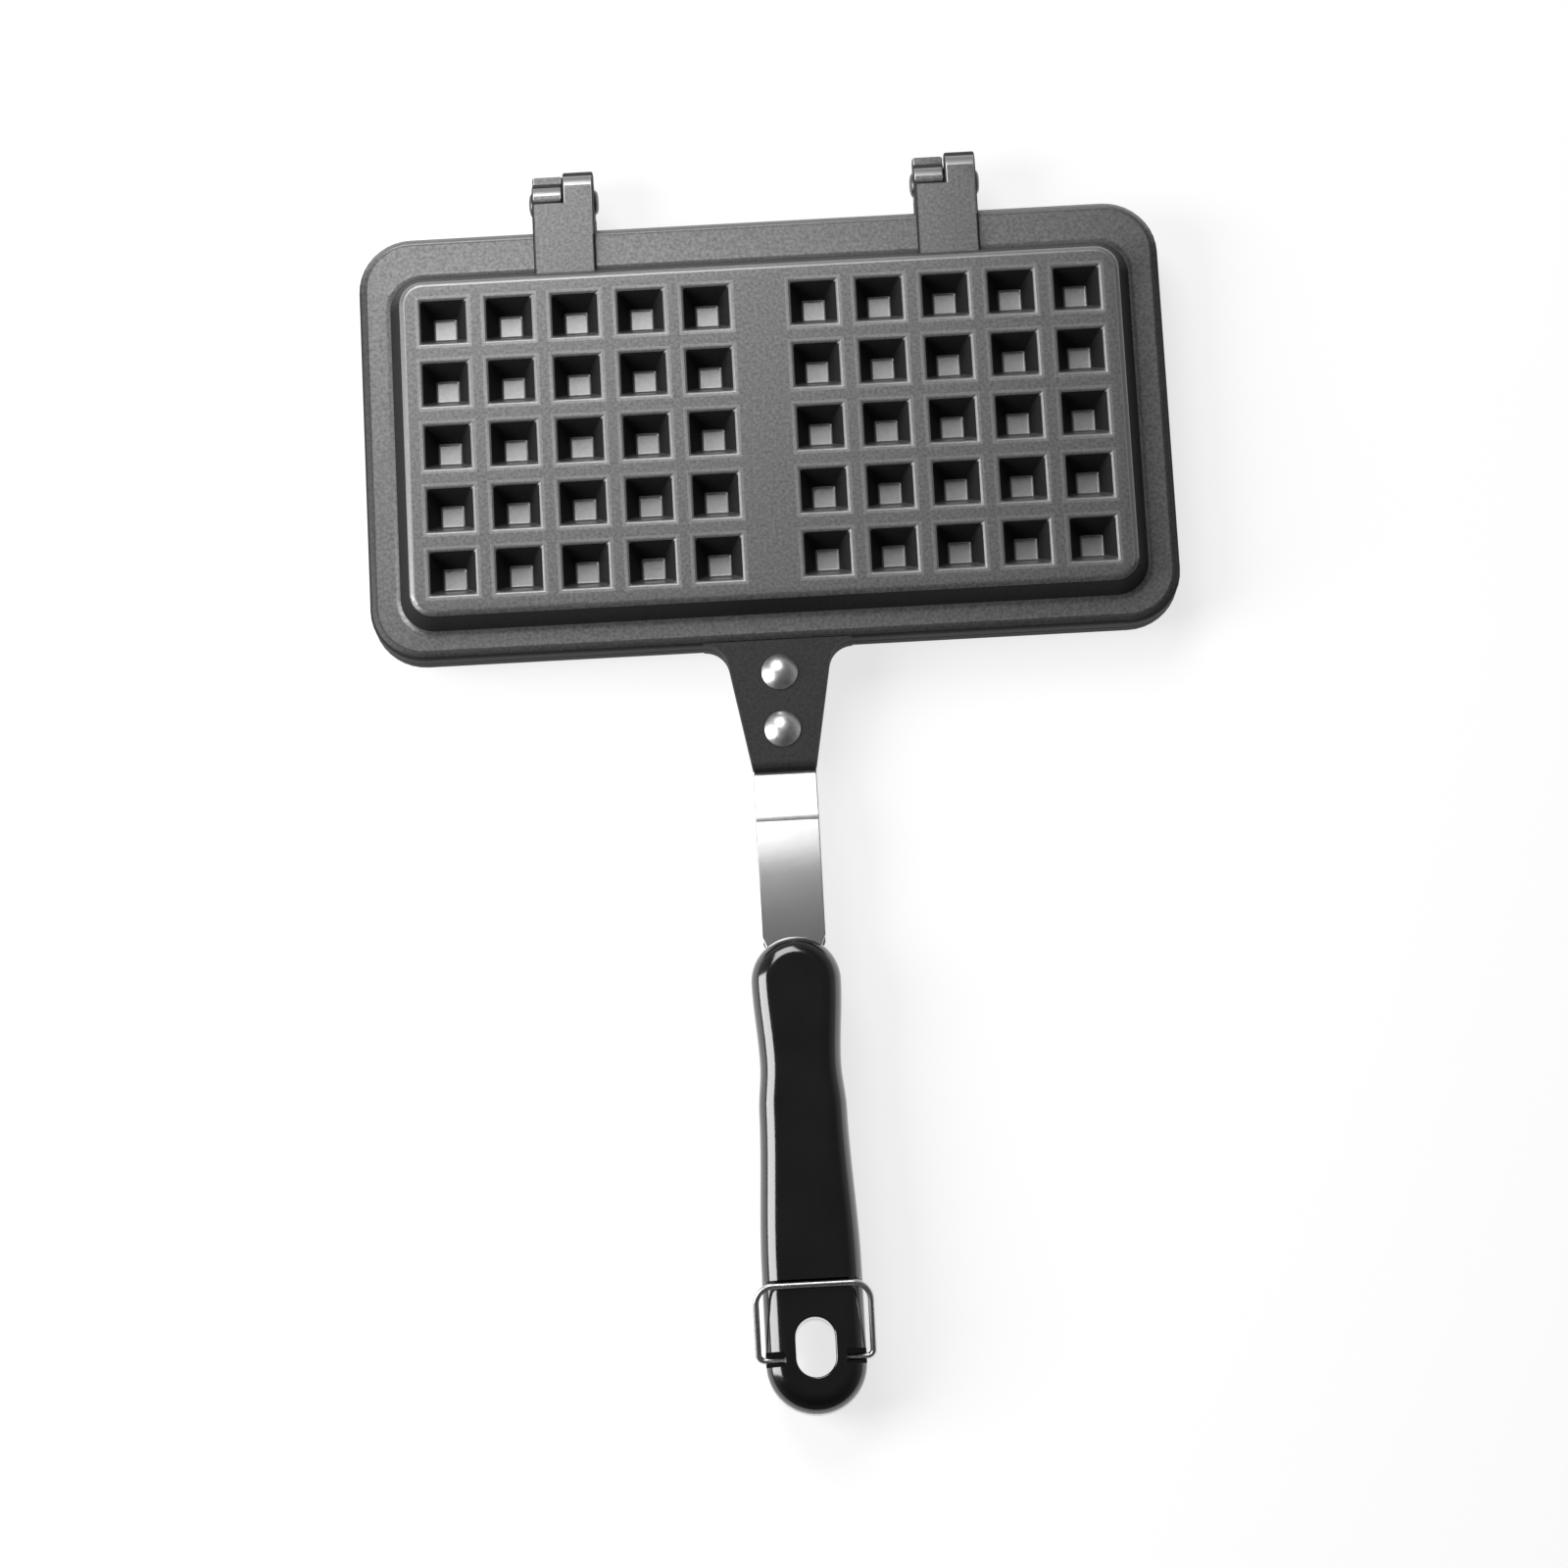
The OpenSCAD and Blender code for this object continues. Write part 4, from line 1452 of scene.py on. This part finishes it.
@dataclass
class Grip:
    """Moulded half grip with a rounded back, a bail seat and a hang hole."""

    finishes: Finishes
    strap: Strap
    length: float = 133.5
    height: float = 12.0
    clear: float = 0.4
    back_round: float = 6.0
    front_r: float = 12.7
    rear_r: float = 14.0
    stations: tuple[Point, ...] = (
        (12.7, 12.7),
        (36.5, 11.45),
        (49.0, 12.4),
        (93.0, 14.0),
        (119.5, 14.0),
    )
    seat_drop: float = 2.5
    hang_w: float = 11.0
    hang_len: float = 16.5
    hang_end: float = 10.1
    pivot_end: float = 15.5
    pivot_h: float = 4.2
    bail_reach: float = 20.0
    wire_r: float = 0.9
    step_gap: float = 0.6
    slot_in: float = 8.3
    slot_w: float = 4.2
    slot_deep: float = 1.6
    slot_open: float = 10.0
    slot_round: float = 0.8
    edge: float = 0.5
    past: float = 2.0
    screw_in: float = 70.0
    pocket_r: float = 3.7
    pocket_top: float = 2.7
    shank_r: float = 2.1
    shank_top: float = 9.1

    def __post_init__(self) -> None:
        """Works out the places along the grip."""
        self.front_y = self.strap.front_y
        self.rear_y = self.front_y - self.length
        self.pivot_y = self.rear_y + self.pivot_end
        self.seat_h = self.height - self.seat_drop
        self.seat_y = self.pivot_y + self.bail_reach + self.wire_r + self.step_gap
        self.hang_y = self.rear_y + self.hang_end + self.hang_len / 2

    def half_width(self, along: float) -> float:
        """Half width of the grip's side.

        Args:
            along: Distance from the grip's front end.

        Returns:
            The half width, eased between stations.
        """
        for (a, wide_a), (b, wide_b) in zip(self.stations, self.stations[1:]):
            if a <= along <= b:
                t = (along - a) / (b - a)
                return wide_a + (wide_b - wide_a) * t * t * (3 - 2 * t)
        return self.rear_r

    def outline(self) -> list[Point]:
        """Plan of the grip, anticlockwise from its right side.

        Returns:
            The outline as (x, y) points.
        """
        first, last = self.stations[0][0], self.stations[-1][0]
        steps = 40
        along = [first + (last - first) * k / steps for k in range(1, steps)]
        right = [(self.half_width(s), self.front_y - s) for s in reversed(along)]
        front = arc((0, self.front_y - self.front_r), self.front_r, 0, 180, 28)
        rear = arc((0, self.rear_y + self.rear_r), self.rear_r, 180, 360, 28)
        left = [(-x, y) for x, y in reversed(right)]
        return right + front + left + rear

    def body(self, name: str) -> Piece:
        """Solid of the grip before its holes are cut.

        Args:
            name: Name of the piece.

        Returns:
            The solid.
        """
        plan = [(x, y, self.clear) for x, y in self.outline()]
        grip = drawn_out(name, plan, (0, 0, self.height - self.clear))
        bevel_edges(self.back_round, 12, lambda e: lies_at(e, self.height))
        bevel_edges(self.edge, 2, lambda e: lies_at(e, self.clear))
        step = 0.5
        for y in (self.seat_y, self.seat_y - step):
            bpy.ops.mesh.select_all(action="SELECT")
            bpy.ops.mesh.bisect(plane_co=(0, y * MM, 0), plane_no=(0, 1, 0))
        pick(Part.VERT, lambda vert: vert.co.y / MM < self.seat_y - step / 2)
        lower = (self.seat_h - self.clear) / (self.height - self.clear)
        bpy.ops.transform.resize(value=(1, 1, lower), center_override=(0, 0, self.clear * MM))
        done()
        return grip

    def obround(self) -> Piece:
        """Cutter for the hang hole.

        Returns:
            The cutter.
        """
        half, r = (self.hang_len - self.hang_w) / 2, self.hang_w / 2
        ends = arc((0, self.hang_y + half), r, 0, 180, 20)
        ends += arc((0, self.hang_y - half), r, 180, 360, 20)
        plan = [(x, y, -self.past) for x, y in ends]
        cutter = drawn_out("hang_cutter", plan, (0, 0, self.height + 2 * self.past))
        done()
        return cutter

    def slot(self, side: int) -> Piece:
        """Cutter for the slot that the bail's end passes through.

        Args:
            side: 1 for the right side, -1 for the left.

        Returns:
            The cutter.
        """
        bottom = self.pivot_h - self.slot_deep
        side_x, reach = side * (self.slot_in + self.slot_open / 2), self.slot_open
        place = (side_x, self.pivot_y, bottom + reach / 2)
        cutter = block("slot_cutter", place, (reach, self.slot_w, reach))
        edit(cutter)
        bevel_edges(self.slot_round, 3, lambda e: abs(e.verts[0].co.z - e.verts[1].co.z) > MM)
        done()
        face_outwards(cutter)
        return cutter

    def screw_hole(self, radius: float, top: float) -> Piece:
        """Cutter for a step of the screw's hole, up from the grip's flat inner face.

        Args:
            radius: Its radius.
            top: Its height.

        Returns:
            The cutter.
        """
        depth = top + self.past
        place = (0, self.front_y - self.screw_in, top - depth / 2)
        return cylinder("screw_cutter", radius, depth, place, 40, False)

    def build(self, half: Half) -> None:
        """Builds a grip and cuts its holes.

        Args:
            half: Half of the iron that it belongs to.
        """
        grip = self.body(f"{half.value}_handle_shell")
        cutters = [self.obround(), self.slot(1), self.slot(-1)]
        cutters.append(self.screw_hole(self.pocket_r, self.pocket_top))
        cutters.append(self.screw_hole(self.shank_r, self.shank_top))
        for cutter in cutters:
            combine(grip, cutter, Merge.CUT)
        face_outwards(grip)
        edit(grip)
        beside = 0.2
        bevel_edges(
            self.edge,
            3,
            lambda e: lies_at(e, self.seat_h)
            and bend(e) > SHARP
            and abs(middle(e).y - self.hang_y) < self.hang_len / 2 + beside
            and abs(middle(e).x) < self.hang_w / 2 + beside,
        )
        done()
        node = f"{half.value}_grip"
        finish_piece(grip, half, half.body, node, self.finishes.grip, SHARP)


@dataclass
class Bail:
    """Bent wire bail that is pivoted in the upper grip."""

    finishes: Finishes
    grip: Grip
    width: float = 32.0
    corner_r: float = 5.0
    end_r: float = 1.8
    end_x: float = 6.4
    gap: float = 0.3
    edge: float = 0.25
    sides: int = 20

    def build(self) -> None:
        """Draws one side of the wire from its end to the crossbar's middle and mirrors it."""
        grip = self.grip
        rise = grip.seat_h + grip.wire_r + self.gap - grip.pivot_h
        length = math.hypot(grip.bail_reach, rise)
        leg = self.width / 2
        deselect()
        bpy.ops.mesh.primitive_circle_add(
            vertices=self.sides,
            radius=grip.wire_r * MM,
            fill_type="NGON",
            location=(self.end_x * MM, 0, 0),
            rotation=(0, math.pi / 2, 0),
        )
        wire = named("bail_wire")
        bpy.ops.object.transform_apply(location=True, rotation=True, scale=True)
        edit(wire)
        extrude(leg - self.end_r - self.end_x, 0, 0)
        self.turn(Vector((leg - self.end_r, self.end_r, 0)), 8)
        extrude(0, length - self.corner_r - self.end_r, 0)
        self.turn(Vector((leg - self.corner_r, length - self.corner_r, 0)), 14)
        extrude(self.corner_r - leg, 0, 0)
        bpy.ops.mesh.delete(type="ONLY_FACE")
        bevel_edges(
            self.edge, 2, lambda e: abs(middle(e).x - self.end_x) < NEAR_MM and bend(e) > SHARP
        )
        done()
        apply_modifier(wire, "MIRROR", use_clip=True, merge_threshold=NEAR_MM * MM)
        face_outwards(wire)
        pivot = Vector((0, grip.pivot_y * MM, grip.pivot_h * MM))
        tilt = math.atan2(rise, grip.bail_reach)
        wire.data.transform(Matrix.Translation(pivot) @ Matrix.Rotation(tilt, 4, "X"))
        finish_piece(wire, Half.UPPER, "bail", "latch_bail", self.finishes.wire)

    @staticmethod
    def turn(centre: Vector, steps: int) -> None:
        """Spins the selected end of the wire a quarter turn, anticlockwise.

        Args:
            centre: Middle of the bend, in millimetres.
            steps: Number of steps.
        """
        bpy.ops.mesh.spin(
            steps=steps, angle=math.pi / 2, center=centre * MM, axis=(0, 0, -1), dupli=False
        )


@dataclass
class HingePins:
    """Peened pins through the knuckles."""

    finishes: Finishes
    lug: Lug
    radius: float = 2.5
    head_r: float = 3.6
    head_h: float = 1.1
    play: float = 0.1
    rim: float = 0.02
    dome: float = 0.8
    tip_r: float = 0.2

    def build(self) -> None:
        """Builds the two pins, each a shank with a hammered dome at both ends."""
        lug_x = self.lug.casting.lug_x
        for side, x in (("left", -lug_x), ("right", lug_x)):
            pin = self.pin(f"peened_pin_{side}")
            pin.data.transform(Matrix.Translation((x * MM, self.lug.axis_y * MM, 0)))
            node = f"hinge_pin_{side}"
            finish_piece(pin, Half.UPPER, Half.LOWER.body, node, self.finishes.pin)

    def pin(self, name: str) -> Piece:
        """Draws a cylinder out at both ends into round heads.

        Args:
            name: Name of the pin.

        Returns:
            The closed pin, along x.
        """
        length = self.lug.width + 2 * self.play
        pin = cylinder(name, self.radius, length, (0, 0, 0), 36, True)
        bpy.ops.object.transform_apply(location=True, rotation=True, scale=True)
        edit(pin)
        for side in (-1, 1):
            pick(Part.FACE, lambda face: face.normal.x * side > LEVEL)
            bpy.ops.mesh.inset(thickness=self.rim * MM)
            swell = (self.head_r - self.rim) / (self.radius - self.rim)
            bpy.ops.transform.resize(value=(1, swell, swell))
            for inward, upward in quarter(6):
                extrude(upward * self.head_h * side, 0, 0)
                self.shrink(inward)
        done()
        face_outwards(pin)
        return pin

    def shrink(self, inward: float) -> None:
        """Draws the selected end in by a share of the dome's quarter.

        Args:
            inward: Share of the quarter, out of one.
        """
        mesh = bpy.context.edit_object.data
        shape = bmesh.from_edit_mesh(mesh)
        chosen = [vert for vert in shape.verts if vert.select]
        now = max(math.hypot(vert.co.y, vert.co.z) for vert in chosen)
        target = max(now - inward * self.dome * self.head_r * MM, self.tip_r * MM)
        bpy.ops.transform.resize(value=(1, target / now, target / now))


# Studio


@dataclass
class Studio:
    """Pale floor, soft lamps and the camera above the grips' end."""

    eye: tuple[float, float, float] = (-0.37, -330.1, 1178.0)
    aim: tuple[float, float, float] = (-0.454, -101.085, 0.0)
    roll: float = -3.09
    lens: float = 96.6

    def camera(self) -> None:
        """Sets the camera at the photograph's viewing angle."""
        lift = Vector((0, 0, parting_height()))
        eye = Vector(self.eye) * MM + lift
        aim = Vector(self.aim) * MM + lift
        back = (eye - aim).normalized()
        level = Vector((0, 0, 1)).cross(back).normalized()
        turned = Matrix.Rotation(math.radians(self.roll), 3, back) @ level
        up = back.cross(turned)
        data = bpy.data.cameras.new("camera")
        data.lens = self.lens
        data.sensor_width = 36.0
        data.clip_start, data.clip_end = 0.05, 100.0
        camera = bpy.data.objects.new("camera", data)
        pointed = Matrix((turned, up, back)).transposed().to_4x4()
        camera.matrix_world = Matrix.Translation(eye) @ pointed
        bpy.context.scene.collection.objects.link(camera)
        bpy.context.scene.camera = camera

    def lamp(self, name: str, place: Sequence[float], size: Sequence[float], watts: float) -> None:
        """Adds a soft box that faces the iron.

        Args:
            name: Name of the lamp.
            place: Its middle, in metres.
            size: Its width and height, in metres.
            watts: Its power.
        """
        data = bpy.data.lights.new(name, "AREA")
        data.shape = "RECTANGLE"
        data.size, data.size_y = size
        data.energy = watts
        lamp = bpy.data.objects.new(name, data)
        lamp.location = place
        target = Vector((0, -0.08, 0))
        lamp.rotation_euler = (target - Vector(place)).to_track_quat("-Z", "Y").to_euler()
        bpy.context.scene.collection.objects.link(lamp)

    def lamps(self) -> None:
        """Sets a tall soft box on the left and a wide one beyond the hinge."""
        self.lamp("left_box", (-0.72, -0.14, 0.5), (0.5, 0.7), 7.6)
        self.lamp("far_box", (-0.2, 0.55, 0.84), (0.48, 0.6), 4.8)

    def world(self) -> None:
        """Dim overhead light, paler at the horizon and darker towards the grips' end."""
        world = bpy.data.worlds.new("studio")
        bpy.context.scene.world = world
        tree = fresh_tree(world)
        direction = add_node(tree, "TexCoord").outputs["Object"]
        axes = add_node(tree, "SeparateXYZ", {"Vector": direction}).outputs
        grey = add_node(tree, "MapRange", (axes["Z"], 0.0, 0.7, 0.45, 0.11)).outputs[0]
        strength = add_node(tree, "MapRange", (axes["Y"], -0.7, 0.2, 0.25, 1.0)).outputs[0]
        sky = add_node(tree, "Background", {"Color": grey, "Strength": strength})
        output = add_node(tree, "OutputWorld")
        tree.links.new(sky.outputs["Background"], output.inputs["Surface"])

    def floor(self) -> None:
        """Lays the pale floor, which shows near white and keeps the shadow."""
        deselect()
        bpy.ops.mesh.primitive_plane_add(size=40.0)
        floor = named("floor")
        material = bpy.data.materials.new("pale_floor")
        tree = fresh_tree(material)
        paint = add_node(tree, "BsdfDiffuse", {"Color": linear("#A4A4A4")}).outputs["BSDF"]
        lit = {"Color": linear("#FFFFFF"), "Strength": 0.74}
        glow = add_node(tree, "Emission", lit).outputs["Emission"]
        path = add_node(tree, "LightPath").outputs
        seen = path["Is Camera Ray"]
        for ray in ("Is Glossy Ray", "Is Transmission Ray"):
            seen = add_node(tree, "Math", {0: seen, 1: path[ray]}, operation="MAXIMUM").outputs[0]
        both = add_node(tree, "AddShader", {0: paint, 1: glow}).outputs["Shader"]
        mix = add_node(tree, "MixShader", {0: seen, 1: paint, 2: both}).outputs["Shader"]
        output = add_node(tree, "OutputMaterial")
        tree.links.new(mix, output.inputs["Surface"])
        floor.data.materials.append(material)

    def build(self) -> None:
        """Builds the whole studio."""
        self.camera()
        self.lamps()
        self.world()
        self.floor()
        bpy.context.scene.view_settings.view_transform = "Standard"


def dress_screws(finishes: Finishes) -> None:
    """Gives the grip screws, which stay as CAD nodes, their plating.

    Args:
        finishes: Materials to take the plating from.
    """
    for half in Half:
        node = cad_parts[f"{half.value}_grip_screw"]
        node.data.materials.clear()
        node.data.materials.append(finishes.screw)
        LOG.info("%s: CAD node with new plating", node.name)


def main() -> None:
    """Builds the iron piece by piece, then the studio."""
    logging.basicConfig(level=logging.INFO, format="%(name)s %(message)s")
    finishes = Finishes()
    Plates(finishes).build()
    casting = Casting()
    neck = Neck(casting)
    strap = Strap(finishes, casting, neck)
    grip = Grip(finishes, strap)
    for half in Half:
        strap.build(half)
        Rivets(finishes, neck).build(half)
        grip.build(half)
    Bail(finishes, grip).build()
    HingePins(finishes, Lug(casting)).build()
    dress_screws(finishes)
    Studio().build()


if __name__ == "__main__":
    main()
